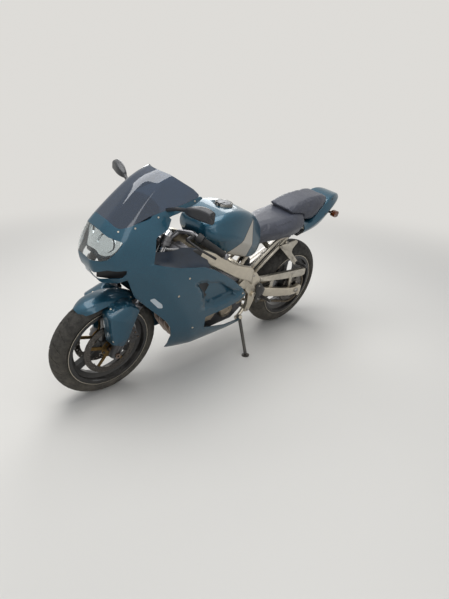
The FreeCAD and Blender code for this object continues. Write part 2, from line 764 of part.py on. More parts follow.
def over_rails():
    """The room for the upper rails under the seat."""
    start = V(*rail[1])
    end = V(*rail[2])
    slope = (end.z - start.z) / (end.x - start.x)
    lift = (rail_radius + seat_gap) * math.sqrt(1 + slope * slope)

    def top(x):
        return start.z + slope * (x - start.x) + lift

    wide = start.y + rail_radius + 3
    return slab([(start.x + 60, top(start.x), 0), (start.x - 15, top(start.x - 15), 0), (-680, top(-680), 0),
                 (-680, 600, 0), (start.x + 60, 600, 0)], "y", -wide, wide)


tail_front = -642.0


def tail_form(inset, drop=0.0):
    """The tail's outside, or with an inset the space inside it, open below by the drop."""
    # columns: x, foot y, foot z, widest y, widest z, shoulder y, shoulder z
    sections = [(tail_front, 104, 702, 142, 780, 108, 838),
                (-760, 100, 716, 138, 810, 104, 834),
                (-880, 84, 760, 124, 860, 96, 926),
                (-990, 64, 850, 98, 910, 74, 960),
                (-1040, 50, 886, 76, 924, 56, 952)]
    wires = []
    for x, foot_y, foot_z, wide_y, wide_z, top_y, top_z in sections:
        if inset > 0 and x == tail_front:
            x = x + 10
        if inset > 0 and x == -1040:
            x = x + inset
        half_ring = [(foot_y - inset, foot_z - drop, 14), (wide_y - inset, wide_z, 26),
                     (top_y - inset, top_z - inset, 16)]
        ring = half_ring + [(-y, z, r) for y, z, r in reversed(half_ring)]
        wires.append(outline(ring, "x", x))
    return loft(wires)


def tail_cowl():
    """The painted tail, hollow and open below, tapering up to the light."""
    return tail_form(0).cut(tail_form(skin, 30))


def pillion_seat():
    """The passenger's pad, raised behind the rider."""
    # columns: x, foot y, foot z, widest y, widest z, shoulder y, shoulder z
    sections = [(-508, 84, 893, 92, 900, 76, 912),
                (-590, 110, 860, 120, 892, 96, 936),
                (-700, 112, 826, 122, 900, 96, 958),
                (-800, 106, 838, 116, 912, 90, 966),
                (-890, 84, 934, 92, 948, 72, 964)]
    wires = []
    for x, foot_y, foot_z, wide_y, wide_z, top_y, top_z in sections:
        half_ring = [(foot_y, foot_z, 5), (wide_y, wide_z, 8), (top_y, top_z, 14)]
        ring = half_ring + [(-y, z, r) for y, z, r in reversed(half_ring)]
        wires.append(outline(ring, "x", x))
    return loft(wires).cut(tail_form(0)).cut(rider_seat())


def tail_light():
    """The lens that closes the end of the tail."""
    return slab([(-46, 908, 12), (46, 908, 12), (54, 930, 8), (44, 941, 6), (-44, 941, 6), (-54, 930, 8)],
                "x", -1050, -1040.3)


def rear_mudguard():
    """The plastic guard under the tail, with the arm that carries a blank number plate."""
    arm = slab([(-690, 700, 6), (-880, 752, 20), (-1000, 860, 10), (-1010, 852, 4), (-884, 740, 20),
                (-690, 690, 6)], "y", -56, 56)
    block = slab([(-890, 745, 0), (-910, 760, 0), (-910, 835, 0), (-890, 835, 0)], "y", -40, 40)
    block = block.cut(rod((-900, -84, 835), (-900, 84, 835), 11 + seat_gap))
    return fused([arm, block]).cut(tail_cowl())


def rear_indicators():
    left = fused([rod((-968, 56, 832), (-968, 104, 838), 8),
                  slab([(-990, 818, 12), (-946, 818, 12), (-942, 858, 14), (-994, 858, 14)], "y", 104, 138)])
    return both(left)


# Fairing, as one hull of horizontal sections that is shelled and cut along its panel lines
# columns: height, back x, back y, side x, side y, shoulder x, shoulder y, nose x, nose y
hull_rows = [
    (190, -200, 104, 220, 112, 380, 84, 430, 40),
    (230, -200, 150, 240, 158, 400, 120, 460, 44),
    (320, -200, 186, 270, 196, 440, 150, 500, 50),
    (460, -200, 206, 330, 214, 520, 160, 580, 52),
    (600, -200, 218, 420, 226, 590, 162, 660, 56),
    (720, -200, 224, 500, 230, 680, 150, 766, 58),
    (820, -200, 224, 540, 226, 730, 150, 812, 62),
    (890, -200, 218, 530, 218, 722, 150, 806, 64),
    (960, -200, 206, 500, 204, 692, 144, 775, 60),
    (1040, -200, 190, 450, 180, 632, 124, 706, 54),
    (1130, -200, 170, 370, 156, 540, 104, 612, 46),
    (1200, -200, 154, 290, 138, 440, 88, 510, 40),
    (1250, -200, 140, 220, 124, 340, 74, 400, 36),
]


def hull(inset):
    wires = []
    for z, back_x, back_y, side_x, side_y, shoulder_x, shoulder_y, nose_x, nose_y in hull_rows:
        half_ring = [(back_x, back_y - inset, 10), (side_x, side_y - inset, 150),
                     (shoulder_x - inset * 0.8, shoulder_y - inset * 0.7, 70),
                     (nose_x - inset, nose_y - inset * 0.3, 45)]
        ring = half_ring + [(x, -y, r) for x, y, r in reversed(half_ring)]
        wires.append(outline(ring, "z", z))
    return loft(wires)


far = 400.0  # further out than the fairing's side

# Panel lines in side view, as corners of (x, z, corner radius)
screen_line = [(298, 1114, 10), (451, 1076, 10), (567, 1043, 10), (650, 1008, 30), (706, 988, 24),
               (745, 1040, 10)]
screen_top = [(900, 1240, 5), (478, 1220, 20), (430, 1205, 10), (340, 1150, 10)]
rear_line = [(574, 838, 3), (566, 890, 10), (557, 946, 10), (546, 997, 10), (518, 1034, 14), (440, 1050, 14),
             (330, 1082, 10), (286, 1104, 3)]
seam = [(574, 838, 3), (686, 809, 3), (684, 788, 3), (677, 755, 3)]
chin_line = [(677, 755, 3), (693, 748, 8), (712, 728, 10), (742, 714, 20), (900, 700, 5)]
top_edge = [(574, 838, 3), (434, 792, 10), (272, 760, 10), (198, 728, 10), (118, 678, 10), (30, 618, 10),
            (-69, 533, 10), (-107, 481, 6)]
lower_edge = [(-60, 446, 8), (79, 423, 20), (196, 418, 10), (186, 338, 8), (2, 282, 20), (-132, 282, 4)]
belly_edge = [(-140, 252, 4), (-14, 214, 20), (145, 193, 20), (297, 200, 20), (392, 222, 6)]
front_edge = [(398, 300, 10), (396, 340, 10), (412, 401, 10), (450, 460, 10), (506, 516, 10), (570, 579, 10),
              (627, 640, 10), (655, 700, 10)]
lamp_edge = [(900, 1010, 3), (772, 990, 6), (760, 968, 10), (745, 954, 10), (698, 941, 6), (758, 858, 14),
             (778, 845, 10), (815, 842, 10), (900, 845, 3)]
slot_edge = [(840, 776, 3), (795, 777, 6), (758, 803, 6), (688, 809, 5), (686, 790, 5), (702, 768, 8),
             (768, 738, 8), (840, 738, 3)]
vent_edge = [(310, 674, 10), (253, 610, 8), (229, 547, 8), (220, 492, 10), (145, 482, 20), (49, 493, 20),
             (-30, 497, 12), (-39, 529, 10), (22, 552, 20), (120, 624, 20), (233, 660, 20)]
vent_floor = [(318, 680, 8), (259, 612, 8), (236, 547, 8), (226, 484, 8), (145, 474, 8), (49, 486, 8),
              (-36, 490, 8), (-45, 529, 8), (22, 558, 8), (120, 630, 8), (233, 668, 8)]
indicator_edge = [(540, 630, 6), (562, 622, 10), (508, 560, 10), (484, 556, 6), (494, 584, 10)]


def region(edge, low=-far, high=far):
    """Everything inside a side-view outline."""
    return slab(edge, "y", low, high)


def screen_region():
    return region(screen_line + screen_top)


def lamp_region():
    return region(lamp_edge)


def slot_region():
    left = region(slot_edge, 22, far)
    return left.fuse(mirrored(left))


def cowl_region():
    front = list(reversed(chin_line)) + list(reversed(seam[1:-1]))
    return region(screen_line + [(900, 1050, 3)] + front + rear_line)


def side_region(low, high):
    edges = seam[1:] + list(reversed(front_edge)) + list(reversed(belly_edge)) + list(reversed(lower_edge))
    return region(edges + list(reversed(top_edge)), low, high)


def shell():
    return hull(0).cut(hull(skin))


def upper_cowl(panels):
    piece = panels.common(cowl_region())
    piece = piece.cut(lamp_region()).cut(slot_region())
    return piece


def windscreen(panels):
    return panels.common(screen_region())


def headlamp(panels):
    return panels.common(lamp_region())


vent_depth = 26.0


def side_cowl(panels):
    piece = panels.common(side_region(20, far))
    piece = piece.cut(region(vent_edge)).cut(region(indicator_edge))
    tray = hull(skin - 0.5).cut(hull(skin + vent_depth + 3)).common(region(vent_floor, 20, far))
    tray = tray.cut(region(vent_edge, 20, far).cut(hull(skin + vent_depth)))
    return fused([piece, tray])


def front_indicators(panels):
    left = panels.common(region(indicator_edge, 20, far))
    return both(solids_of(left))


def cockpit_panel():
    """The black panels round the instruments, with the stay that carries the fairing."""
    room = hull(skin + seat_gap)
    dash = region([(530, 1042, 3), (566, 1020, 20), (640, 986, 20), (700, 968, 3), (700, 961, 3),
                   (636, 978, 20), (560, 1012, 20), (524, 1034, 3)])
    sides = region([(553, 1012, 3), (562, 1012, 3), (592, 842, 3), (583, 842, 3)])
    sides = sides.cut(Part.makeBox(200, 270, 400, V(500, -135, 800)))
    foot = head_frame().multVec(V(32, 0, 540))
    stay = bent([(foot.x, 0, foot.z), (590, 0, 842), (630, 0, 990)], 9, 50)
    head = head_frame().multVec(V(0, 0, head_bottom))
    up = head_frame().multVec(V(0, 0, head_top)) - head
    stay = stay.cut(Part.makeCylinder(34, up.Length, head, up))
    return fused([room.common(dash), room.common(sides), stay])


def gauges():
    pod = slab([(-105, 1000, 20), (105, 1000, 20), (112, 1070, 30), (40, 1086, 30), (-40, 1086, 30),
                (-112, 1070, 30)], "x", 492, 530)
    return pod.cut(cockpit_panel())


def mirrors():
    """Teardrop housings on short stems from the top of the fairing."""
    stem = bent([(482, 150, 1066), (470, 210, 1092), (446, 292, 1108)], 9, 60)
    wires = []
    # columns: y, x middle, z middle, half depth, half height
    for y, x, z, deep, high in ((256, 452, 1098, 12, 18), (296, 444, 1106, 26, 32), (350, 432, 1112, 28, 40),
                                (398, 424, 1110, 22, 34)):
        back_x = x - deep * 0.6
        section = [(back_x, z - high, high * 0.5), (x + deep, z - high * 0.6, high * 0.4),
                   (x + deep, z + high * 0.6, high * 0.4), (back_x, z + high, high * 0.5)]
        wires.append(outline(section, "y", y))
    return both(fused([stem, loft(wires)]).cut(hull(0)))


# Controls on the frame
def footrests(tubes):
    """Rider's and passenger's pegs on their plates."""
    plate = slab([(-262, 470, 16), (-300, 480, 16), (-352, 420, 12), (-330, 352, 16), (-286, 330, 10)],
                 "y", plate_y[1], plate_y[1] + 8)
    peg = rod((-322, plate_y[1] + 4, 378), (-322, 236, 384), 12, 10)
    hanger = slab([(-462, 700, 8), (-440, 690, 8), (-640, 520, 12), (-672, 536, 14), (-560, 640, 30),
                   (-620, 700, 10), (-588, 712, 8)], "y", 124, 131)
    rear_peg = rod((-652, 129, 536), (-660, 214, 542), 11, 10)
    bosses = [rod((x, 92, z), (x, 131, z), 9) for x, z in ((-458, 686), (-508, 708))]
    hanger = fused([hanger, rear_peg] + bosses).cut(tubes)
    return both(Part.makeCompound([fused([plate, peg]), hanger]))


def caliper(centre, radius, y, angle, wide, deep, high):
    """A brake caliper straddling its disc, at an angle round the axle."""
    low_y = y - wide / 2
    foot = centre.z + radius - deep
    top = centre.z + radius + deep
    narrow = high * 0.8
    body = slab([(centre.x - high, foot, 10), (centre.x + high, foot, 10), (centre.x + narrow, top, 14),
                 (centre.x - narrow, top, 14)], "y", low_y, low_y + wide)
    slot = hub(centre, radius + deep - 8, y - disc_thickness / 2 - 2, y + disc_thickness / 2 + 2)
    return turn_about(body.cut(slot), centre, V(0, 1, 0), angle)


def rear_caliper():
    """The rear caliper on its bracket, which hangs on the axle inside the right beam."""
    width = 34.0
    reach = rear_disc_radius - 16
    body = caliper(rear_centre, reach, rear_disc_y, 0, width, 26, 40)
    face = rear_disc_y - width / 2
    foot = rear_centre.z - 22
    top = rear_centre.z + reach + 14
    plate = slab([(rear_centre.x - 26, foot, 20), (rear_centre.x + 26, foot, 20),
                  (rear_centre.x + 34, top, 10), (rear_centre.x - 34, top, 10)], "y", face - 9, face)
    plate = plate.cut(hub(rear_centre, 16, face - 10, face + 1))
    return turn_about(fused([body, plate]), rear_centre, V(0, 1, 0), -130)


# Steering
def yokes():
    """The upper and lower yokes on the steering stem, clamping the fork tubes."""
    plates = []
    for low, high, reach in ((425, 457, slider_radius + 4), (626, 644, slider_radius + 2)):
        middle = slab([(-34, -40, 24), (fork_offset + 24, -60, 20), (fork_offset + 24, 60, 20),
                       (-34, 40, 24)], "z", low, high)
        arm = slab([(0, 20, 0), (fork_offset + 24, 20, 0), (fork_offset + 22, leg_spacing, 0),
                    (fork_offset - 22, leg_spacing, 0)], "z", low, high)
        ring = Part.makeCylinder(reach, high - low, V(fork_offset, leg_spacing, low))
        plates.append(fused([middle, arm, ring, mirrored(arm), mirrored(ring)]))
    stem = Part.makeCylinder(stem_radius, 240, V(0, 0, 415))
    nut = Part.makeCylinder(19, 14, V(0, 0, 644))
    whole = fused(plates + [stem, nut])
    for side in (-1, 1):
        whole = whole.cut(Part.makeCylinder(tube_radius, 400, V(fork_offset, side * leg_spacing, 400)))
    whole = whole.cut(Part.makeCylinder(8, 300, V(0, 0, 400)))
    return from_fork(whole)


fork_top = 690.0
slider_top = 300.0
caliper_width = 52.0


def fork_tubes():
    left = Part.makeCylinder(tube_radius, fork_top - slider_top, V(fork_offset, leg_spacing, slider_top))
    cap = Part.makeCylinder(12, 8, V(fork_offset, leg_spacing, fork_top))
    return from_fork(both(fused([left, cap])))


def fork_sliders():
    """Cast lower legs with the caliper's lugs and the axle's clamp."""
    body = Part.makeCylinder(slider_radius, slider_top + 22, V(fork_offset, leg_spacing, -22))
    seal = Part.makeCylinder(slider_radius + 3, 14, V(fork_offset, leg_spacing, slider_top - 20))
    lug = slab([(fork_offset - 60, 40, 8), (fork_offset, 60, 8), (fork_offset, 150, 8),
                (fork_offset - 60, 130, 8)], "y", front_disc_y + caliper_width / 2, leg_spacing - 8)
    left = fused([body, seal, lug])
    left = left.cut(rod((fork_offset, 40, 0), (fork_offset, 160, 0), axle_radius))
    return from_fork(both(left))


def front_axle():
    outer = leg_spacing + slider_radius
    pieces = [hub(front_centre, axle_radius, -outer - 6, outer + 6)]
    inner = front_hub_half + disc_thickness + 1
    for side in (-1, 1):
        for near, end in ((outer - 6, outer + 6), (inner, leg_spacing - 20)):
            pieces.append(rod((half, side * near, front_radius), (half, side * end, front_radius), 15))
    whole = fused(pieces).cut(fork_sliders())
    return whole.cut(hub(front_centre, 5, -outer - 10, outer + 10))


def front_calipers():
    left = caliper(front_centre, front_disc_radius - 18, front_disc_y, -62, caliper_width, 30, 56)
    return both(left.cut(fork_sliders()))


fender_gap = 7.0


def front_fender():
    """A mudguard close over the tyre, with covers down over the fork legs."""
    inner = front_radius + fender_gap
    outer = inner + 3
    crown = leg_spacing - slider_radius - 4.5

    def arch(reach, wide):
        x = half
        z = front_radius
        return [V(x, -wide, z + reach - 36), V(x, -wide * 0.75, z + reach - 11), V(x, 0, z + reach),
                V(x, wide * 0.75, z + reach - 11), V(x, wide, z + reach - 36)]

    def strip(reach, wide):
        p = arch(reach, wide)
        return [Part.LineSegment(p[0], p[1]).toShape(), Part.Arc(p[1], p[2], p[3]).toShape(),
                Part.LineSegment(p[3], p[4]).toShape()]

    outside = strip(outer, crown)
    inside = strip(inner, crown - 3)
    a = arch(outer, crown)
    b = arch(inner, crown - 3)
    left_edge = Part.LineSegment(a[4], b[4]).toShape()
    right_edge = Part.LineSegment(b[0], a[0]).toShape()
    wire = Part.Wire(outside + [left_edge] + inside[::-1] + [right_edge])
    face = Part.Face(wire)
    face.rotate(front_centre, V(0, 1, 0), 33)
    shell_piece = face.revolve(front_centre, V(0, 1, 0), -66)
    # the covers: an outline that narrows outwards, hollow inside
    near = [(758, 556, 14), (744, 440, 30), (728, 362, 14), (672, 334, 10), (640, 380, 20), (604, 470, 30),
            (570, 560, 20), (640, 604, 40)]
    middle = (680, 480)

    def shrink(points, share, back):
        return [(middle[0] + (x - middle[0]) * share, middle[1] + (z - middle[1]) * share,
                 max(r * share, back)) for x, z, r in points]

    outer_wires = [outline(near, "y", crown - 3), outline(shrink(near, 0.96, 4), "y", 118),
                   outline(shrink(near, 0.86, 4), "y", 138)]
    inner_wires = [outline(shrink(near, 0.955, 4), "y", crown + 0.8),
                   outline(shrink(near, 0.92, 4), "y", 116), outline(shrink(near, 0.83, 4), "y", 135)]
    cover = ruled(outer_wires).cut(ruled(inner_wires))
    leg_room = slider_radius + 3 + seat_gap
    leg = from_fork(Part.makeCylinder(leg_room, slider_top + 40, V(fork_offset, leg_spacing, -30)))
    whole = fused([shell_piece, cover, mirrored(cover)])
    return whole.cut(leg).cut(mirrored(leg))


bar_points = [(393, 130, 940), (350, 190, 946), (256, 342, 873)]
bar_radius = 11.0
grip_radius = 16.5


def along_bar(share):
    a = V(*bar_points[1])
    b = V(*bar_points[2])
    return a + (b - a) * share


def bar_rod(start, end, radius, end_radius=None):
    a = along_bar(start)
    b = along_bar(end)
    return rod((a.x, a.y, a.z), (b.x, b.y, b.z), radius, end_radius)


def handlebars():
    """Cast risers on the fork tubes that carry the short bars."""
    base = head_frame().multVec(V(fork_offset, leg_spacing, 655))
    clamp = Part.makeCylinder(tube_radius + 7, 26, V(fork_offset, leg_spacing, 645))
    clamp = clamp.cut(Part.makeCylinder(tube_radius, 40, V(fork_offset, leg_spacing, 640)))
    clamp = from_fork(clamp)
    riser = bent([(base.x - 20, base.y + 14, base.z + 8), (382, 128, 936), (350, 190, 946),
                  tuple(along_bar(0.14))], bar_radius, 20)
    bar = bar_rod(0.13, 1.0, bar_radius)
    weight = bar_rod(1.0, 1.1, grip_radius, 12)
    return both(fused([clamp, riser, bar, weight])).cut(fork_tubes())


def grips():
    left = bar_rod(0.34, 0.98, grip_radius, grip_radius).cut(bar_rod(0.0, 1.0, bar_radius))
    return both(left)


def levers():
    """Switch housings with the clutch and brake levers in front of the grips."""
    box = bar_rod(0.16, 0.32, 22).cut(bar_rod(0.0, 1.0, bar_radius))
    a = along_bar(0.10) + V(66, 20, -4)
    b = along_bar(0.55) + V(62, 20, -8)
    c = along_bar(0.92) + V(52, 16, -8)
    blade = bent([tuple(a), tuple(b), tuple(c)], 6, 60)
    perch = rod(tuple(along_bar(0.10) + V(10, 4, 0)), tuple(a), 11, 9)
    return both(fused([box, blade, perch]).cut(handlebars()))


# Side stand
def side_stand():
    """The leg with its foot, on the pin of the frame's bracket."""
    axis = stand_axis()
    foot = upright_point(foot_ground[0], foot_ground[1], 8)
    up = upright_point(0, 0, 1) - upright_point(0, 0, 0)
    leg = rod(tuple(stand_pivot), tuple(foot), 11, 10)
    pad = Part.makeCylinder(24, 7, upright_point(foot_ground[0], foot_ground[1], 0.0), up)
    eye = Part.makeCylinder(17, 2 * stand_eye, stand_pivot - axis * stand_eye, axis)
    room = Part.makeCylinder(30, 60, stand_pivot - axis * (stand_eye + 60), axis)
    cap = Part.makeCylinder(30, 60, stand_pivot + axis * stand_eye, axis)
    bore = Part.makeCylinder(stand_pin + running_clearance, 80, stand_pivot - axis * 40, axis)
    leg = leg.cut(room).cut(cap)
    return fused([leg, pad, eye]).cut(bore)


# Standing on its wheels and side stand
centre_x = -24.9  # the middle of the leaned bike's box, which becomes the origin
centre_y = 202.9


def standing(shape):
    """The upright piece leaned on its stand, with each tyre's crown on the ground."""
    angle = math.radians(lean)
    front_lift = front_section * (1 - math.cos(angle))
    rear_lift = rear_section * (1 - math.cos(angle))
    pitch = math.degrees(math.atan((rear_lift - front_lift) / wheelbase))
    copy = shape.copy()
    copy.rotate(V(0, 0, 0), V(1, 0, 0), -lean)
    copy.rotate(V(half, 0, 0), V(0, 1, 0), pitch)
    copy.translate(V(-centre_x, -centre_y, front_lift))
    return copy


def build():
    panels = shell()
    left_side = solids_of(side_cowl(panels))
    frame = main_frame()
    tubes = subframe(frame)
    arm = swingarm()
    nodes = {
        "main_frame": frame,
        "subframe": tubes,
        "engine": engine(),
        "radiator": radiator(),
        "exhaust": exhaust(),
        "fuel_tank": fuel_tank(),
        "rider_seat": rider_seat(),
        "pillion_seat": pillion_seat(),
        "tail_cowl": tail_cowl(),
        "tail_light": tail_light(),
        "rear_mudguard": rear_mudguard(),
        "rear_indicators": rear_indicators(),
        "upper_cowl": upper_cowl(panels),
        "headlamp": headlamp(panels),
        "windscreen": windscreen(panels),
        "side_cowl_left": left_side,
        "side_cowl_right": mirrored(left_side),
        "cockpit_panel": cockpit_panel(),
        "gauges": gauges(),
        "mirrors": mirrors(),
        "front_indicators": front_indicators(panels),
        "footrests": footrests(tubes),
        "swingarm": arm,
        "rear_shock": rear_shock(),
        "rear_axle": rear_axle(arm),
        "drive_chain": drive_chain(),
        "chain_guard": chain_guard(arm),
        "rear_caliper": rear_caliper(),
        "yokes": yokes(),
        "fork_tubes": fork_tubes(),
        "fork_sliders": fork_sliders(),
        "front_axle": front_axle(),
        "front_fender": front_fender(),
        "handlebars": handlebars(),
        "grips": grips(),
        "levers": levers(),
        "front_calipers": front_calipers(),
        "front_rim": front_rim(),
        "front_tyre": front_tyre(),
        "front_discs": front_discs(),
        "rear_rim": rear_rim(),
        "rear_tyre": rear_tyre(),
        "rear_disc": rear_disc(),
        "rear_sprocket": rear_sprocket(),
        "side_stand": side_stand(),
        "fuel_cap": fuel_cap(),
    }
    return nodes


for name, shape in build().items():
    standing(solids_of(shape)).exportStep("parts/" + name + ".step")
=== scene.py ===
"""The looks of a parked sport motorcycle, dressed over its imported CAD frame.

Pieces are made upright, in the millimetres of the CAD source, and leaned on the side stand by one matrix.
"""

import json
import math

import bmesh
import bpy
from mathutils import Matrix, Vector
from mathutils.bvhtree import BVHTree

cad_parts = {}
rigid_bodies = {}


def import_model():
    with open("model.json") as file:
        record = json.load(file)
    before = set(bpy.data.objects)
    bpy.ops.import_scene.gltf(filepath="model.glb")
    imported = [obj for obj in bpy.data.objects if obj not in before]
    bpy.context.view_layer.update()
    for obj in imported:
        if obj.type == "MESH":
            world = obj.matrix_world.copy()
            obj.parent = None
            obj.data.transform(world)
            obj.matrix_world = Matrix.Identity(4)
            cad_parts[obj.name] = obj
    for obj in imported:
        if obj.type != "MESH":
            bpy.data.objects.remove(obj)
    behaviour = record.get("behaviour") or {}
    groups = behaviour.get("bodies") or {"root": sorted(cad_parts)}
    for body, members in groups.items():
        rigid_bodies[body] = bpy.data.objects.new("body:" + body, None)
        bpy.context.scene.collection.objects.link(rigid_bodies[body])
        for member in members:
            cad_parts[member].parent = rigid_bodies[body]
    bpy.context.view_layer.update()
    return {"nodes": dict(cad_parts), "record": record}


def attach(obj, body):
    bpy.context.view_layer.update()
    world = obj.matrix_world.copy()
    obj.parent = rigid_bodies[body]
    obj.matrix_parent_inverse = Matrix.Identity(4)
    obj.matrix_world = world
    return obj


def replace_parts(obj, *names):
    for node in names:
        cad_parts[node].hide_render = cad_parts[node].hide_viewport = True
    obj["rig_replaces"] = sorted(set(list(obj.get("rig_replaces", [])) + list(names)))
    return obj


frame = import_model()
record = frame["record"]
slot_of = {row["node"]: row["material_slot"] for row in record["subparts"]}
body_of = {node: body for body, members in record["behaviour"]["bodies"].items() for node in members}

# Driving dimensions, as in the CAD source
millimetre = 0.001
wheelbase = 1400.0
half = wheelbase / 2
rake = 24.0
fork_offset = 35.0
lean = 10.7
front_radius = 300.0
front_section = 60.0
front_bead = 46.0
rear_radius = 318.0
rear_section = 86.0
rear_bead = 66.0
rim_radius = 216.0
flange_height = 14.0
rim_wall = 7.0
leg_spacing = 103.0
centre_x = -24.9
centre_y = 202.9
full_turn = 2 * math.pi

front_centre = Vector((half, 0, front_radius))
rear_centre = Vector((-half, 0, rear_radius))
lateral = Vector((0, 1, 0))
forward = Vector((1, 0, 0))
upward = Vector((0, 0, 1))


def standing_matrix():
    """From the upright bike in millimetres to the parked one in metres."""
    angle = math.radians(lean)
    front_lift = front_section * (1 - math.cos(angle))
    rear_lift = rear_section * (1 - math.cos(angle))
    pitch = math.atan((rear_lift - front_lift) / wheelbase)
    about_front = (Matrix.Translation((half, 0, 0)) @ Matrix.Rotation(pitch, 4, "Y")
                   @ Matrix.Translation((-half, 0, 0)))
    moved = (Matrix.Translation((-centre_x, -centre_y, front_lift)) @ about_front
             @ Matrix.Rotation(-angle, 4, "X"))
    return Matrix.Scale(millimetre, 4) @ moved


def fork_matrix():
    """From the fork's own frame, z up the steering axis, to the upright bike."""
    angle = math.radians(rake)
    foot = (half - fork_offset * math.cos(angle), 0, front_radius - fork_offset * math.sin(angle))
    return Matrix.Translation(foot) @ Matrix.Rotation(-angle, 4, "Y")


standing = standing_matrix()
upright = standing.inverted()
fork = fork_matrix()


# Materials
def linear(code, share=1.0):
    """An sRGB hex colour as linear numbers, darkened or lightened by a share."""
    values = []
    for i in (0, 2, 4):
        part = int(code[i:i + 2], 16) / 255
        values.append(part / 12.92 if part <= 0.04045 else ((part + 0.055) / 1.055) ** 2.4)
    return (*[value * share for value in values], 1.0)


def add(tree, kind, links=None, into=None, stops=(), **settings):
    """Adds a node: its options, what feeds its sockets, its colour stops, and where it goes."""
    made = tree.nodes.new(kind)
    for option, value in settings.items():
        setattr(made, option, value)
    for socket, value in (links or {}).items():
        if isinstance(value, bpy.types.Node):
            value = next(output for output in value.outputs if output.enabled)
        if isinstance(value, bpy.types.NodeSocket):
            tree.links.new(value, made.inputs[socket])
        else:
            made.inputs[socket].default_value = value
    for i, (place, colour) in enumerate(stops):
        made.color_ramp.elements[i].position = place
        made.color_ramp.elements[i].color = colour
    if into is not None:
        tree.links.new(next(output for output in made.outputs if output.enabled), into)
    return made


class Finish:
    """A material with its shader, and the object's coordinates as upright millimetres."""

    def __init__(self, name, colour, **sockets):
        self.material = bpy.data.materials.new(name)
        self.material.use_nodes = True
        self.tree = self.material.node_tree
        shader = self.tree.nodes["Principled BSDF"]
        shader.inputs["Base Color"].default_value = linear(colour)
        for socket, value in sockets.items():
            shader.inputs[socket.replace("_", " ")].default_value = value
        self.surface = shader.outputs["BSDF"]
        self.colour = shader.inputs["Base Color"]
        self.roughness = shader.inputs["Roughness"]
        self.normal = shader.inputs["Normal"]
        self.lacquer = shader.inputs["Coat Normal"]
        coordinates = add(self.tree, "ShaderNodeTexCoord")
        back = Matrix.Rotation(math.radians(lean), 3, "X") @ Vector((centre_x, centre_y, 0))
        self.place = add(self.tree, "ShaderNodeMapping", {
            "Vector": coordinates.outputs["Object"], "Scale": (1 / millimetre,) * 3,
            "Rotation": (math.radians(lean), 0, 0), "Location": back})
        self.axes = add(self.tree, "ShaderNodeSeparateXYZ", {"Vector": self.place}).outputs

    def lumps(self, size, detail=3.0, rough=0.5, stretch=(1, 1, 1)):
        """A noise pattern whose lumps are about that many millimetres long in x, y and z."""
        scaled = add(self.tree, "ShaderNodeMapping", {"Vector": self.place,
                     "Scale": [1 / (size * share) for share in stretch]})
        return add(self.tree, "ShaderNodeTexNoise", {"Vector": scaled, "Scale": 1.0, "Detail": detail,
                   "Roughness": rough})

    def mottled(self, size, dark, light, low=0.3, high=0.75, detail=4.0):
        """Two colours that run into each other in lumps of that size."""
        return add(self.tree, "ShaderNodeValToRGB", {"Fac": self.lumps(size, detail, 0.6)},
                   stops=((low, dark), (high, light)))

    def dusty(self, colour, amount, top, dust="8d8371"):
        """Road dust in patches over a colour, thinning out up to a height."""
        low = add(self.tree, "ShaderNodeMapRange", {
            "Value": self.axes["Z"], "From Min": dust_floor, "From Max": top, "To Min": amount,
            "To Max": 0.0})
        patch = add(self.tree, "ShaderNodeMapRange", {
            "Value": self.lumps(dust_patch, 5.0, 0.65), "From Min": 0.35, "From Max": 0.75, "To Min": 0.25,
            "To Max": 1.0})
        share = add(self.tree, "ShaderNodeMath", {0: low, 1: patch}, operation="MULTIPLY")
        add(self.tree, "ShaderNodeMix", {0: share, 6: colour, 7: linear(dust)}, self.colour, data_type="RGBA")

    def worn(self, pattern, low, high, depth=0.0):
        """A gloss that runs between two roughnesses with a pattern, which may be embossed too."""
        if depth:
            self.embossed(pattern, depth)
        add(self.tree, "ShaderNodeMapRange", {
            "Value": pattern, "From Min": 0.3, "From Max": 0.7, "To Min": low, "To Max": high},
            self.roughness)

    def embossed(self, pattern, depth, layer=None):
        """A pattern raised by that many millimetres, in the surface itself or in its lacquer."""
        add(self.tree, "ShaderNodeBump", {"Height": pattern, "Distance": depth * millimetre},
            layer or self.normal)

    def lacquered(self):
        """The flakes of a metallic base coat, under lacquer with a faint orange peel."""
        self.embossed(self.lumps(peel_size, 2.0), peel_depth, self.lacquer)
        return self.mottled(flake_size, linear(paint_dark), linear(paint_light), 0.35, 0.7, 2.0)


finishes = {}
dust_floor = 40.0
dust_patch = 60.0
paint_dark = "10384a"
paint_light = "1c586f"
silver_dark = "a39f97"
silver_light = "bdb8ae"
seam_colour = "0d1116"
flake_size = 1.6
leather_cell = 2.2
peel_size = 9.0
peel_depth = 0.02


def blue_paint():
    """Metallic base coat under clear lacquer: fine flake in the colour and a deep smooth gloss."""
    finish = Finish("blue_metallic_lacquer", paint_dark, Metallic=0.5, Roughness=0.4, Coat_Weight=0.65,
                    Coat_Roughness=0.04)
    finish.dusty(finish.lacquered(), 0.22, 420.0)
    return finish.material


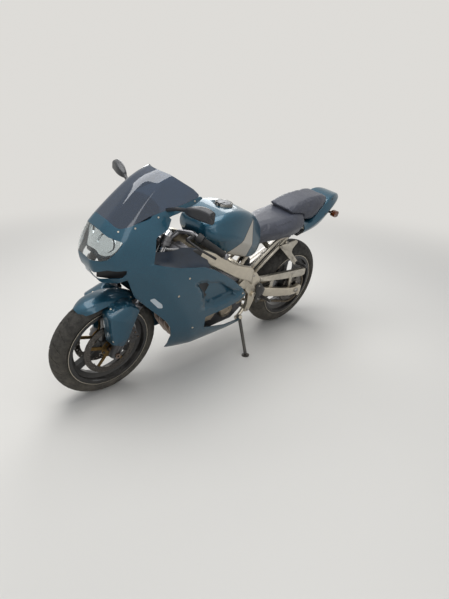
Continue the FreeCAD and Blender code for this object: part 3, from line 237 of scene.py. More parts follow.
def tank_paint():
    """The same lacquer over the tank, with a silver field low on each flank inside a dark seam."""
    finish = Finish("blue_and_silver_lacquer", paint_dark, Metallic=0.5, Roughness=0.38, Coat_Weight=0.65,
                    Coat_Roughness=0.04)
    tree = finish.tree
    blue = finish.lacquered()
    silver = finish.mottled(flake_size, linear(silver_dark), linear(silver_light), 0.35, 0.7, 2.0)
    seam_x, seam_z, seam_slope = -10.0, 796.0, -0.944
    rear_x, seam_width, blur = -152.0, 5.0, 0.8
    line = add(tree, "ShaderNodeMath", {0: finish.axes["X"], 1: -seam_slope, 2: seam_slope * seam_x - seam_z},
               operation="MULTIPLY_ADD")
    rise = add(tree, "ShaderNodeMath", {0: finish.axes["Z"], 1: line}, operation="ADD")
    above = add(tree, "ShaderNodeMath", {0: rise, 1: 1 / math.hypot(1, seam_slope)}, operation="MULTIPLY")

    def field(inset):
        """One inside the silver field drawn in by that much, none outside it."""
        below = add(tree, "ShaderNodeMapRange", {"Value": above, "From Min": -inset - blur,
                    "From Max": -inset + blur, "To Min": 1.0, "To Max": 0.0})
        ahead = add(tree, "ShaderNodeMapRange", {"Value": finish.axes["X"], "From Min": rear_x + inset - blur,
                    "From Max": rear_x + inset + blur})
        return add(tree, "ShaderNodeMath", {0: below, 1: ahead}, operation="MULTIPLY")

    inside = add(tree, "ShaderNodeMix", {0: field(seam_width), 6: linear(seam_colour), 7: silver},
                 data_type="RGBA")
    add(tree, "ShaderNodeMix", {0: field(0.0), 6: blue, 7: inside}, finish.colour, data_type="RGBA")
    return finish.material


def aluminium(name, colour, roughness, grain, stretch, depth):
    """Rolled or cast aluminium: tool marks along one direction, a dull even stain."""
    finish = Finish(name, colour, Metallic=1.0, Roughness=roughness)
    finish.worn(finish.lumps(grain, 4.0, 0.6, stretch), roughness * 0.75, roughness * 1.35, depth)
    finish.dusty(finish.mottled(70, linear(colour), linear(colour, 0.84)), 0.12, 500.0)
    return finish.material


def painted_steel(name, colour, roughness, metallic=0.0, dust=0.3):
    """Powder coat baked on steel or cast wheels: even, a little pebbled, rubbed and dusty low down."""
    finish = Finish(name, colour, Metallic=metallic, Roughness=roughness, Coat_Weight=0.25,
                    Coat_Roughness=0.3)
    finish.dusty(finish.mottled(45, linear(colour, 0.85), linear(colour, 1.3)), dust, 520.0)
    finish.worn(finish.lumps(2.5), roughness * 0.85, roughness * 1.15, 0.05)
    return finish.material


def moulded_plastic(name, colour, roughness, grain=1.2, depth=0.06, dust=0.2):
    """Injection moulded plastic with the fine grain of a spark-eroded mould, faded in patches."""
    finish = Finish(name, colour, Roughness=roughness)
    finish.dusty(finish.mottled(40, linear(colour, 0.85), linear(colour, 1.25)), dust, 600.0)
    finish.embossed(finish.lumps(grain, 2.0), depth)
    return finish.material


def tyre_rubber():
    """Road tyre: matt carbon-black rubber, browned by dust, scuffed on its crown."""
    finish = Finish("tyre_rubber", "1d1d1e", Roughness=0.78, Specular_IOR_Level=0.35)
    scuff = finish.mottled(22, linear("1b1b1b"), linear("42403c"), 0.32, 0.72, 5.0)
    finish.dusty(scuff, 0.42, 620.0, "7d7567")
    finish.embossed(finish.lumps(3), 0.12)
    return finish.material


def seat_vinyl():
    """Calendered vinyl over foam: a leather grain of about two millimetres, glossier where it is sat on."""
    # Painted reflection: the base is a bluish grey lighter than the black vinyl, standing in for sky
    # reflected in the seat
    finish = Finish("seat_vinyl", "303239", Roughness=0.4, Sheen_Weight=0.15, Sheen_Roughness=0.4)
    tree = finish.tree
    cells = add(tree, "ShaderNodeTexVoronoi", {"Vector": finish.place, "Scale": 1 / leather_cell},
                feature="DISTANCE_TO_EDGE")
    creases = add(tree, "ShaderNodeMapRange", {"Value": cells, "From Max": 0.25})
    finish.embossed(creases, 0.09)
    finish.worn(finish.lumps(35), 0.36, 0.52)
    # bluish-grey patches lighter than black vinyl paint the sky's reflection, with a little dust low down
    finish.dusty(finish.mottled(90, linear("363943"), linear("40434e")), 0.05, 900.0)
    return finish.material


def disc_steel():
    """Ground stainless steel, darkened by pad dust: fine even wear marks."""
    finish = Finish("ground_steel", "66635f", Metallic=1.0, Roughness=0.34)
    finish.worn(finish.lumps(2.0, 3.0, 0.6), 0.26, 0.42)
    finish.dusty(finish.mottled(6.0, linear("4f4c4a"), linear("716d69"), 0.25, 0.8), 0.1, 600.0)
    return finish.material


def gold_anodised():
    """Gold anodised aluminium, browned by brake dust."""
    finish = Finish("gold_anodised", "6f5a38", Metallic=1.0, Roughness=0.42)
    finish.dusty(finish.mottled(18, linear("574529"), linear("82693f"), 0.3, 0.72), 0.1, 600.0)
    finish.embossed(finish.lumps(1.5, 2.0), 0.03)
    return finish.material


def heat_tinted_steel():
    """Drawn stainless tube and a brushed can, straw and brown where the heat has coloured it."""
    finish = Finish("heat_tinted_steel", "a9a49b", Metallic=1.0, Roughness=0.3)
    tree = finish.tree
    cool_x, hot_x = -200.0, 330.0
    heat = add(tree, "ShaderNodeMapRange", {"Value": finish.axes["X"], "From Min": cool_x, "From Max": hot_x})
    tinted = add(tree, "ShaderNodeValToRGB", {"Fac": heat},
                 stops=((0.15, linear("aaa69e")), (0.95, linear("7a6450"))))
    blotch = add(tree, "ShaderNodeMapRange", {
        "Value": finish.lumps(60, 4.0), "From Min": 0.3, "From Max": 0.7, "To Max": 0.5})
    blotched = add(tree, "ShaderNodeMix", {0: blotch, 6: tinted, 7: linear("8b8a8f")}, data_type="RGBA")
    finish.dusty(blotched, 0.2, 330.0)
    finish.worn(finish.lumps(1.5, 4.0, 0.6, (1.0, 30.0, 30.0)), 0.24, 0.4, 0.02)
    return finish.material


def chain_steel():
    """Plated links under brown oil and grit."""
    finish = Finish("oiled_chain_steel", "5d5446", Metallic=0.9, Roughness=0.42, Coat_Weight=0.3)
    grit = finish.lumps(4, 5.0, 0.7)
    add(finish.tree, "ShaderNodeValToRGB", {"Fac": grit}, finish.colour,
        stops=((0.35, linear("3b332a")), (0.7, linear("8a7d68"))))
    finish.worn(grit, 0.3, 0.65)
    return finish.material


def moulded_lens(name, colour, roughness=0.03, through=1.0, metallic=0.0):
    """Moulded polycarbonate or plated glass: smooth, with the faint waves of its mould."""
    finish = Finish(name, colour, Roughness=roughness, IOR=1.2, Transmission_Weight=through, Coat_Weight=1.0,
                    Coat_Roughness=0.02, Metallic=metallic)
    finish.embossed(finish.lumps(14, 1.0), 0.02, finish.lacquer)
    return finish.material


def smoked_screen():
    """Tinted acrylic sheet: dark, with a blue partly its own tint and partly painted reflection of the sky;
    clear through when looked at square, mirror-like at a slant.
    """
    # the blue of this base colour is partly painted reflection of the sky
    finish = Finish("smoked_acrylic", "374b63", Roughness=0.03, IOR=1.08, Transmission_Weight=0.6,
                    Coat_Weight=1.0, Coat_Roughness=0.03, Coat_IOR=1.7)
    finish.embossed(finish.lumps(120, 1.0), 0.15, finish.lacquer)
    return finish.material


def printed(name, colour, roughness=0.4):
    """Screen-printed ink or a small moulded marker: flat, a little uneven in gloss."""
    finish = Finish(name, colour, Roughness=roughness)
    finish.worn(finish.lumps(5, 2.0), roughness * 0.9, roughness * 1.1)
    return finish.material


finishes["blue_paint"] = blue_paint()
finishes["tank_paint"] = tank_paint()
# polished aluminium's warm tint is painted light: the warmth of low sunlight reflected in the metal
# columns: name, colour, roughness, length of its marks, their stretch, their depth
for row in (("polished_aluminium", "cbc3b4", 0.33, 1.6, (14.0, 1.0, 1.0), 0.03),
            ("cast_alloy", "56565a", 0.5, 1.4, (1.0, 1.0, 1.0), 0.08),
            ("cover_alloy", "9a8f80", 0.4, 1.4, (1.0, 1.0, 1.0), 0.06),
            ("fork_alloy", "77777a", 0.4, 1.2, (1.0, 1.0, 1.0), 0.04),
            ("fork_chrome", "cfcfd2", 0.14, 1.0, (1.0, 1.0, 8.0), 0.005),
            ("cap_ring", "6f6e6b", 0.38, 1.0, (1.0, 1.0, 1.0), 0.02),
            ("cap_lid", "4d4f53", 0.38, 1.0, (1.0, 1.0, 1.0), 0.02)):
    finishes[row[0]] = aluminium(*row)
# columns: name, colour, roughness, metallic, dust
for row in (("black_steel", "1b1b1d", 0.42, 0.0, 0.3), ("rail_paint", "b3ada1", 0.4, 0.8, 0.1),
            ("radiator_black", "151516", 0.6, 0.0, 0.3), ("wheel_black", "141518", 0.34, 0.1, 0.12),
            ("caliper_paint", "2b2b2e", 0.4, 0.2, 0.3), ("spring_coat", "4a4d52", 0.35, 0.3, 0.3)):
    finishes[row[0]] = painted_steel(*row)
finishes["brushed_steel"] = heat_tinted_steel()
finishes["seat_vinyl"] = seat_vinyl()
# the near-black plastic of the ducts also paints the shade in the side cowls' vents
# columns: name, colour, roughness, grain, its depth, dust
for row in (("black_plastic", "1c1c1e", 0.52), ("inner_plastic", "1d2836", 0.3, 3.0, 0.02, 0.1),
            ("duct_plastic_and_painted_shade", "0a0d12", 0.5, 2.0, 0.04, 0.0), ("mirror_plastic", "24262a", 0.4),
            ("grip_rubber", "161616", 0.8, 1.5, 0.1)):
    finishes[row[0]] = moulded_plastic(*row)
finishes["tyre_rubber"] = tyre_rubber()
finishes["disc_steel"] = disc_steel()
finishes["bronze_carrier"] = gold_anodised()
finishes["chain_steel"] = chain_steel()
# columns: name, colour, roughness, how much goes through, metallic
for row in (("red_lens", "8a0f12", 0.1, 0.5), ("dark_lens", "6b3310", 0.12, 0.4), ("clear_lens", "eef3f4"),
            ("milky_lens", "d3dde4", 0.12, 0.35), ("mirror_glass", "c9d0d6", 0.02, 0.0, 1.0),
            ("reflector", "d9dcdd", 0.08, 0.0, 1.0)):
    finishes[row[0]] = moulded_lens(*row)
finishes["smoked_screen"] = smoked_screen()
# columns: name, colour, roughness
for row in (("white_print", "d8d8d2"), ("red_print", "a8261d"), ("dial_black", "101113", 0.6)):
    finishes[row[0]] = printed(*row)


# Mesh helpers
def object_of(name, mesh):
    """An object that holds a mesh or a curve, in the scene."""
    made = bpy.data.objects.new(name, mesh)
    bpy.context.scene.collection.objects.link(made)
    return made


def shown(name, bm, finish, body, slot, turn=None, smooth=32.0, node=None, normals=True):
    """Turns an upright mesh into a finished piece that rides on a body."""
    if normals:
        bmesh.ops.recalc_face_normals(bm, faces=bm.faces)
    if turn is not None:
        bm.transform(turn)
    bm.transform(standing)
    mesh = bpy.data.meshes.new(name)
    bm.to_mesh(mesh)
    bm.free()
    names = [finish] if isinstance(finish, str) else finish
    for each in names:
        mesh.materials.append(finishes[each])
    mesh.shade_smooth()
    mesh.set_sharp_from_angle(angle=math.radians(smooth))
    piece = object_of(name, mesh)
    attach(piece, body)
    if node:
        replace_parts(piece, node)
    return piece


def cad_copy(node):
    """The CAD node's mesh, welded, upright and in millimetres."""
    bm = bmesh.new()
    bm.from_mesh(frame["nodes"][node].data)
    bmesh.ops.remove_doubles(bm, verts=bm.verts, dist=0.00001)
    bm.transform(upright)
    return bm


def dressed(node, finish=None, pick=None, smooth=32.0, bevel=0.0, change=None):
    """Shows a CAD node by a welded, smooth copy; pick gives each face the number of its finish."""
    bm = cad_copy(node)
    if change:
        change(bm)
    if pick:
        for face in bm.faces:
            face.material_index = pick(face)
    slot = slot_of[node]
    piece = shown(node + "_shown", bm, finish or slot, body_of[node], slot, None, smooth, node, False)
    if bevel > 0:
        edge = piece.modifiers.new("edge", "BEVEL")
        edge.width = bevel * millimetre
        edge.segments = 2
        edge.limit_method = "ANGLE"
        edge.angle_limit = math.radians(smooth + 8)
        edge.harden_normals = True
    return piece


def facing(at, out):
    """A matrix whose z runs out from a place."""
    turn = Vector(out).normalized().to_track_quat("Z", "Y").to_matrix().to_4x4()
    return Matrix.Translation(Vector(at)) @ turn


def mirrored(at, side):
    """A place or a way on the left side, or its mirror image on the right where side is -1."""
    return Vector((at[0], side * at[1], at[2]))


def template(bm):
    """Keeps a small mesh to be stamped many times."""
    bmesh.ops.recalc_face_normals(bm, faces=bm.faces)
    mesh = bpy.data.meshes.new("stamp")
    bm.to_mesh(mesh)
    bm.free()
    return mesh


def stamp(bm, mesh, matrix, number=None):
    """Adds a copy of a template, with its own finish number where one is given."""
    copy = mesh.copy()
    copy.transform(matrix)
    if number is not None:
        copy.polygons.foreach_set("material_index", [number] * len(copy.polygons))
    bm.from_mesh(copy)
    bpy.data.meshes.remove(copy)


def merged(bm, part, place):
    """Moves a mesh into its place and adds it to another."""
    part.transform(place)
    mesh = bpy.data.meshes.new("part")
    part.to_mesh(mesh)
    part.free()
    bm.from_mesh(mesh)
    bpy.data.meshes.remove(mesh)


def lathe(bm, outline, centre, axis, side, steps, closed=True):
    """Spins an outline of (reach, along) about an axis."""
    verts = [bm.verts.new(Vector(centre) + side * reach + axis * along) for reach, along in outline]
    last = len(verts) if closed else len(verts) - 1
    edges = [bm.edges.new((verts[i], verts[(i + 1) % len(verts)])) for i in range(last)]
    bmesh.ops.spin(bm, geom=verts + edges, cent=centre, axis=axis, angle=full_turn, steps=steps,
                   use_merge=True)


def rod(bm, start, end, radius, end_radius=None, segments=20):
    """A round bar between two places."""
    start = Vector(start)
    run = Vector(end) - start
    far_radius = radius if end_radius is None else end_radius
    matrix = facing(start + run / 2, run)
    bmesh.ops.create_cone(bm, cap_ends=True, segments=segments, radius1=radius, radius2=far_radius,
                          depth=run.length, matrix=matrix)


def block(bm, low, high, turn=None):
    """A box between two corners."""
    low = Vector(low)
    high = Vector(high)
    size = high - low
    matrix = Matrix.Translation((low + high) / 2) @ Matrix.Diagonal((*size, 1))
    bmesh.ops.create_cube(bm, size=1.0, matrix=turn @ matrix if turn else matrix)


def bolt_template():
    """A socket-head screw of unit radius and height, with its socket."""
    bm = bmesh.new()
    bmesh.ops.create_cone(bm, cap_ends=True, segments=14, radius1=1.0, radius2=0.86, depth=1.0,
                          matrix=Matrix.Translation((0, 0, 0.5)))
    top = max(bm.faces, key=lambda f: f.calc_center_median().z)
    bmesh.ops.inset_individual(bm, faces=[top], thickness=0.42, depth=0.0)
    bmesh.ops.inset_individual(bm, faces=[top], thickness=0.05, depth=-0.55)
    return template(bm)


def hex_template():
    """A hexagon nut of unit radius and height with a dome."""
    bm = bmesh.new()
    bmesh.ops.create_cone(bm, cap_ends=True, segments=6, radius1=1.0, radius2=1.0, depth=0.7,
                          matrix=Matrix.Translation((0, 0, 0.35)))
    top = max(bm.faces, key=lambda f: f.calc_center_median().z)
    bmesh.ops.inset_individual(bm, faces=[top], thickness=0.22, depth=0.3)
    return template(bm)


bolt = bolt_template()
nut = hex_template()


def screw(bm, at, out, radius, high, head=None, number=None):
    """One fastener's head on a surface."""
    stamp(bm, head or bolt, facing(at, out) @ Matrix.Diagonal((radius, radius, high, 1)), number)


def screw_ring(bm, centre, out, first, count, radius, high, head=None, number=None, start=0.5, axis="Y"):
    """A ring of fasteners; first is the arm to a screw, before it turns by that many steps of the ring."""
    for i in range(count):
        turn = Matrix.Rotation(full_turn * (i + start) / count, 3, axis)
        screw(bm, Vector(centre) + turn @ first, out, radius, high, head, number)


surfaces = {}


def surface(node):
    """A CAD node as a surface to be probed, upright and in millimetres."""
    if node not in surfaces:
        bm = cad_copy(node)
        surfaces[node] = BVHTree.FromBMesh(bm)
        bm.free()
    return surfaces[node]


def probe(node, start, direction):
    """Where a straight line first meets a CAD node, and which way the surface faces there."""
    at, out, _, _ = surface(node).ray_cast(Vector(start), Vector(direction).normalized())
    if at is None:
        raise ValueError(f"nothing of {node} lies that way from {start}")
    return at, out


# Wheels
tread_periods = 26
tread_columns = 6
crown_cells = 22
shoulder_angle = 72.0
tread_depth = 2.6
groove_width = 4.6
lip_segments = 96
casing = 9.0
groove_spans = {0: (0.06, 0.84), 2: (-0.32, -0.05), 3: (-0.84, -0.06), 5: (0.05, 0.32)}  # of half the crown
# a tyre's wall: share of the way down, how far it stands out
wall_ribs = ((0.16, 0.0), (0.3, 0.0), (0.34, 0.9), (0.42, 0.9), (0.46, 0.0), (0.7, 0.0), (0.84, 0.0),
             (0.86, 1.2), (0.94, 1.2), (0.97, 0.0))


def tyre(node, centre, radius, section, bead):
    """A road tyre with slanting grooves cut in its crown and a rib round each wall."""
    crown_radius = radius - section
    bend = math.radians(shoulder_angle)
    flange = rim_radius + flange_height + 0.5
    bm = bmesh.new()
    outline = []
    for i in range(crown_cells + 1):
        angle = bend * (2 * i / crown_cells - 1)
        outline.append((crown_radius + section * math.cos(angle), section * math.sin(angle)))
    shoulder = Vector(outline[-1])
    foot = Vector((flange, bead))
    bulge = Vector((flange + 12, bead + 0.85 * (shoulder.y - bead)))
    handle = 2 * bulge - (shoulder + foot) / 2
    wall = []
    for share, proud in wall_ribs:
        at = shoulder * (1 - share) ** 2 + handle * 2 * share * (1 - share) + foot * share ** 2
        wall.append((at.x, at.y + proud))
    wall += [tuple(foot), (rim_radius, bead)]
    inner = []
    lining = section - casing
    for i in range(9):
        angle = bend * (1 - 2 * i / 8)
        inner.append((crown_radius + lining * math.cos(angle), lining * math.sin(angle)))
    ring = outline + wall + [(rim_radius, bead - casing)] + inner + [(rim_radius, casing - bead)]
    ring += [(reach, -along) for reach, along in reversed(wall)]
    steps = tread_periods * tread_columns
    lathe(bm, ring, centre, lateral, upward, steps)

    def polar(point):
        """A place as the turn round the axle, the reach from it and the angle across the crown."""
        x = point.x - centre.x
        z = point.z - centre.z
        reach = math.hypot(x, z)
        return math.atan2(x, z) % full_turn, reach, math.atan2(point.y, reach - crown_radius)

    grooves = []
    for face in bm.faces:
        turn, reach, across = polar(face.calc_center_median())
        if reach < crown_radius + (section - 4) * math.cos(across):
            continue
        share = across / bend
        column = int(turn / full_turn * steps) % tread_columns
        low, high = groove_spans.get(column, (1, 1))
        if low < share < high:
            grooves.append(face)
    narrow = groove_width / radius
    period = full_turn / tread_periods
    wide = (period - 4 * narrow) / 2
    starts = [0.0, narrow, narrow + wide, 2 * narrow + wide, 3 * narrow + wide, 3 * narrow + 2 * wide]

    def slanted(turn, across):
        """The turn of a grid line after the columns take their widths and the tread its slant."""
        period_number, column = divmod(int(turn / full_turn * steps + 0.001), tread_columns)
        sweep = 0.16 * min(abs(across) / bend, 1.0) ** 1.4
        return period_number * period + starts[column] + sweep

    for vert in bm.verts:
        turn, reach, across = polar(vert.co)
        new = slanted(turn, across if reach > crown_radius + 8 else bend)
        vert.co.x = centre.x + reach * math.sin(new)
        vert.co.z = centre.z + reach * math.cos(new)
    bmesh.ops.recalc_face_normals(bm, faces=bm.faces)
    bmesh.ops.inset_region(bm, faces=grooves, use_boundary=True, use_even_offset=True, thickness=0.6,
                           depth=-tread_depth)
    shown(node + "_treaded", bm, "tyre_rubber", body_of[node], slot_of[node], None, 38.0, node)


def wheels():
    """Both tyres, and the machined lips and valves of their rims."""
    tyre("front_tyre", front_centre, front_radius, front_section, front_bead)
    tyre("rear_tyre", rear_centre, rear_radius, rear_section, rear_bead)
    valve_out = Matrix.Rotation(math.radians(60), 3, "Y") @ upward
    for node, centre, bead in (("front_rim", front_centre, front_bead), ("rear_rim", rear_centre, rear_bead)):
        dressed(node, smooth=28.0, bevel=1.6)
        bm = bmesh.new()
        lip = rim_radius + flange_height
        edge = bead + rim_wall
        for side in (-1, 1):
            ring = [(lip - 2.6, side * (edge - 0.4)), (lip - 2.6, side * (edge + 0.7)),
                    (lip + 0.5, side * (edge + 0.7)), (lip + 0.5, side * (edge - 0.4))]
            lathe(bm, ring, centre, lateral, upward, lip_segments)
        root = centre + valve_out * (rim_radius - 24)
        rod(bm, root, root - valve_out * 26, 4.0, 3.4, 12)
        shown(node + "_lips", bm, "polished_aluminium", body_of[node], "polished_aluminium")


# Brakes
disc_thickness = 5.0
front_disc_radius = 149.0
front_disc_y = 55.5
rear_disc_y = -84.0


def disc_pair(node, centre, faces_y, inner, boss, buttons):
    """Ground steel rings on gold carriers, with the floating buttons and the carrier's bolts."""

    def pick(face):
        """The steel ring, or the carrier inside it."""
        at = face.calc_center_median() - centre
        return 0 if math.hypot(at.x, at.z) > inner - 1 else 1

    dressed(node, ["disc_steel", "bronze_carrier"], pick, 30.0)
    bm = bmesh.new()
    for y in faces_y:
        side = math.copysign(1, y)
        face = Vector((centre.x, y + side * disc_thickness / 2, centre.z))
        screw_ring(bm, face, lateral * side, upward * (inner + 1), buttons, 6.0, 1.6, number=0)
        screw_ring(bm, face, lateral * side, upward * (boss - 10), 5, 6.5, 5.0, number=1)
    shown(node + "_buttons", bm, ["disc_steel", "black_steel"], body_of[node], "disc_steel")


def caliper_trim(name, centre, reach, y, angle, wide, body):
    """Piston covers, the bridge bolts, the bleed nipple and the pad pins of one caliper."""
    bm = bmesh.new()
    turn = (Matrix.Translation(centre) @ Matrix.Rotation(math.radians(angle), 4, "Y")
            @ Matrix.Translation(-centre))
    side = math.copysign(1, y)
    face_y = y + side * wide / 2
    for shift in (-24, 24):
        at = Vector((centre.x + shift, face_y, centre.z + reach - 4))
        screw(bm, at, lateral * side, 15.0, 2.6, number=0)
    for shift in (-42, 0, 42):
        at = Vector((centre.x + shift * 0.9, face_y, centre.z + reach + 18))
        screw(bm, at, lateral * side, 4.5, 4.0, number=1)
    top = centre.z + reach + 30
    rod(bm, (centre.x + 34, y, top - 8), (centre.x + 34, y, top + 9), 4.0, 3.0, 10)
    bmesh.ops.transform(bm, matrix=turn, verts=bm.verts)
    shown(name, bm, ["caliper_paint", "brushed_steel"], body, "caliper_paint")


def brakes():
    """Discs, and calipers with softened edges and their bolts."""
    disc_pair("front_discs", front_centre, (front_disc_y, -front_disc_y), 116, 51, 10)
    disc_pair("rear_disc", rear_centre, (rear_disc_y,), 82, 60, 8)
    dressed("front_calipers", bevel=1.5)
    dressed("rear_caliper", bevel=1.2)
    for side in (1, -1):
        name = "front_caliper_bolts_left" if side > 0 else "front_caliper_bolts_right"
        caliper_trim(name, front_centre, front_disc_radius - 18, side * front_disc_y, -62, 52, "steering")


# Chain
chain_y = 104.0
chain_pitch = 15.875
rear_teeth = 45
front_teeth = 15
engine_sprocket = Vector((-162.0, 0, 414.0))


def chain_run():
    """The chain's centre line: its length, and the place in side view at any length along it."""
    small_radius = chain_pitch / (2 * math.sin(math.pi / front_teeth))
    big_radius = chain_pitch / (2 * math.sin(math.pi / rear_teeth))
    run = rear_centre - engine_sprocket
    base = math.atan2(run.z, run.x)
    tilt = math.acos((small_radius - big_radius) / run.length)
    upper = (base - tilt) % full_turn
    lower = (base + tilt) % full_turn
    straight = run.length * math.sin(tilt)

    def on(centre, radius, angle):
        """A place on a sprocket's pitch circle."""
        return centre + Vector((math.cos(angle), 0, math.sin(angle))) * radius

    round_big = lower - upper
    round_small = full_turn - round_big
    lengths = [straight, big_radius * round_big, straight, small_radius * round_small]

    def at(length):
        """The place at that length along the chain."""
        length = length % sum(lengths)
        for i, each in enumerate(lengths):
            if length <= each:
                break
            length -= each
        share = length / lengths[i]
        if i == 0:
            return on(engine_sprocket, small_radius, upper).lerp(on(rear_centre, big_radius, upper), share)
        if i == 1:
            return on(rear_centre, big_radius, upper + round_big * share)
        if i == 2:
            return on(rear_centre, big_radius, lower).lerp(on(engine_sprocket, small_radius, lower), share)
        return on(engine_sprocket, small_radius, lower + round_small * share)

    return sum(lengths), at


def link_template(width, thickness, reach):
    """One link: two plates that far apart, with the rollers and pins between."""
    bm = bmesh.new()
    for side in (-1, 1):
        plate = bmesh.ops.create_circle(bm, cap_ends=True, segments=14, radius=reach)["verts"]
        for vert in plate:
            vert.co.x += math.copysign(chain_pitch / 2, vert.co.x)
        face = plate[0].link_faces[0]
        grown = bmesh.ops.extrude_face_region(bm, geom=[face])
        solid = plate + [v for v in grown["geom"] if isinstance(v, bmesh.types.BMVert)]
        top = [v for v in solid if v not in plate]
        bmesh.ops.translate(bm, verts=top, vec=(0, 0, thickness))
        low = width / 2 if side > 0 else -width / 2 - thickness
        bmesh.ops.translate(bm, verts=solid, vec=(0, 0, low))
    pin_end = width / 2 + thickness + 0.8
    for x in (-chain_pitch / 2, chain_pitch / 2):
        rod(bm, (x, 0, -pin_end), (x, 0, pin_end), 2.6, None, 8)
    rod(bm, (-chain_pitch / 2, 0, -3.6), (-chain_pitch / 2, 0, 3.6), 5.0, None, 12)
    return template(bm)


def chain():
    """Every link of the chain round its two sprockets."""
    total, at = chain_run()
    count = 2 * round(total / chain_pitch / 2)
    step = total / count
    inner = link_template(8.4, 1.7, 6.6)
    outer = link_template(12.0, 1.7, 6.2)
    bm = cad_copy("drive_chain")
    wheel_reach = 48.0
    wheel_half = 4.0
    far = []
    for vert in bm.verts:
        away = math.hypot(vert.co.x - engine_sprocket.x, vert.co.z - engine_sprocket.z)
        if away > wheel_reach or abs(vert.co.y - chain_y) > wheel_half:
            far.append(vert)
    bmesh.ops.delete(bm, geom=far, context="VERTS")
    for i in range(count):
        start = at(step * i)
        end = at(step * (i + 1))
        along = (end - start).normalized()
        sideways = along.cross(lateral)
        turn = Matrix((along, sideways, along.cross(sideways))).transposed().to_4x4()
        middle = (start + end) / 2 + lateral * chain_y
        stamp(bm, inner if i % 2 else outer, Matrix.Translation(middle) @ turn)
    shown("drive_chain_links", bm, "chain_steel", "chassis", "chain_steel", None, 35.0, "drive_chain")
    dressed("rear_sprocket", "disc_steel")
    bm = bmesh.new()
    face = Vector((rear_centre.x, chain_y + 3, rear_centre.z))
    screw_ring(bm, face, lateral, forward * 52, 5, 7.5, 7.0, nut, start=0.0)
    shown("sprocket_nuts", bm, "brushed_steel", "rear_wheel", "brushed_steel")


# Rear suspension
def shock():
    """The damper body in a wound spring, with its eyes and pins."""
    low = Vector((-313.0, 0, 444.0))
    high = Vector((-275.0, 0, 616.0))
    run = high - low
    along = run.normalized()
    side = along.cross(lateral)
    bm = bmesh.new()
    rod(bm, low + along * 12, high - along * 60, 9.0, None, 20)
    rod(bm, high - along * 84, high - along * 12, 19.0, None, 24)
    for place in (30.0, run.length - 40.0):
        rod(bm, low + along * place, low + along * (place + 6), 33.0, 31.0, 28)
    for eye in (low, high):
        rod(bm, eye - lateral * 13.7, eye + lateral * 13.7, 13.0, None, 24)
        rod(bm, eye - lateral * 26, eye + lateral * 26, 6.0, None, 14)
    wire = 5.0
    coil_radius = 26.0
    turns = 5.5
    rise = run.length - 80.0
    first = set(bm.verts)
    foot = low + along * 38
    ring = bmesh.ops.create_circle(bm, segments=10, radius=wire,
                                   matrix=facing(foot + side * coil_radius, lateral))
    edges = list({e for v in ring["verts"] for e in v.link_edges})
    steps = int(turns * 24)
    bmesh.ops.spin(bm, geom=ring["verts"] + edges, cent=foot, axis=along,
                   dvec=along * (rise / steps), angle=full_turn * turns, steps=steps)
    bmesh.ops.holes_fill(bm, edges=[e for e in bm.edges if e.is_boundary], sides=12)
    for face in bm.faces:
        if any(v not in first for v in face.verts):
            face.material_index = 1
    shown("rear_shock_coiled", bm, ["black_steel", "spring_coat"], "chassis", "black_steel", None, 35.0,
          "rear_shock")


# Padded seats
foam_voxel = 5.0
foam_shrink = 5.0
foam_pressure = 4.0
foam_swell = 6.0
foam_frames = 20
piping_radius = 1.8


def swollen(mesh):
    """The cover blown up by its foam: where the points of a remeshed cushion come to rest."""
    soft = object_of("soft", mesh)
    remesh = soft.modifiers.new("even", "REMESH")
    remesh.mode = "VOXEL"
    remesh.voxel_size = foam_voxel * millimetre
    even = bpy.data.meshes.new_from_object(soft.evaluated_get(bpy.context.evaluated_depsgraph_get()))
    soft.modifiers.clear()
    soft.data = even
    cloth = soft.modifiers.new("foam", "CLOTH")
    cloth.settings.use_pressure = True
    cloth.settings.uniform_pressure_force = foam_pressure
    cloth.settings.effector_weights.gravity = 0
    cloth.settings.quality = 5
    cloth.point_cache.frame_end = foam_frames
    start = [vert.co.copy() for vert in even.vertices]
    for step in range(1, foam_frames + 1):
        bpy.context.scene.frame_set(step)
    blown = soft.evaluated_get(bpy.context.evaluated_depsgraph_get())
    moved = [vert.co.copy() for vert in blown.data.vertices]
    soft.modifiers.clear()
    limit = foam_swell * millimetre
    for vert, old, new in zip(even.vertices, start, moved):
        step = new - old
        if step.length > limit:
            step = step.normalized() * limit
        vert.co = old + step
    bpy.context.scene.frame_set(1)
    bpy.data.objects.remove(soft)
    return even


def seat(node, seam_sides):
    """A cushion swollen by its foam, with piping sewn along the seams between its panels."""
    bm = cad_copy(node)
    bmesh.ops.recalc_face_normals(bm, faces=bm.faces)
    for vert in bm.verts:
        vert.co -= vert.normal * foam_shrink
    bm.transform(standing)
    mesh = bpy.data.meshes.new(node + "_foam")
    bm.to_mesh(mesh)
    bm.free()
    mesh = swollen(mesh)
    bm = bmesh.new()
    bm.from_mesh(mesh)
    bmesh.ops.smooth_vert(bm, verts=bm.verts, factor=0.5, use_axis_x=True, use_axis_y=True, use_axis_z=True)
    bm.transform(upright)
    cover = BVHTree.FromBMesh(bm)
    piece = shown(node + "_padded", bm, "seat_vinyl", body_of[node], slot_of[node], None, 60.0, node)
    smooth = piece.modifiers.new("cover", "SUBSURF")
    smooth.levels = 1
    smooth.render_levels = 1
    piping = bmesh.new()
    for seam in seam_sides:
        for side in (1, -1):
            found = []
            for start, towards in seam:
                begin = mirrored(start, side)
                at, out, _, _ = cover.ray_cast(begin, mirrored(towards, side) - begin)
                if at is not None:
                    found.append(at + out * 0.3)
            cord_run(piping, found, piping_radius)
    shown(node + "_piping", piping, "seat_vinyl", body_of[node], slot_of[node])


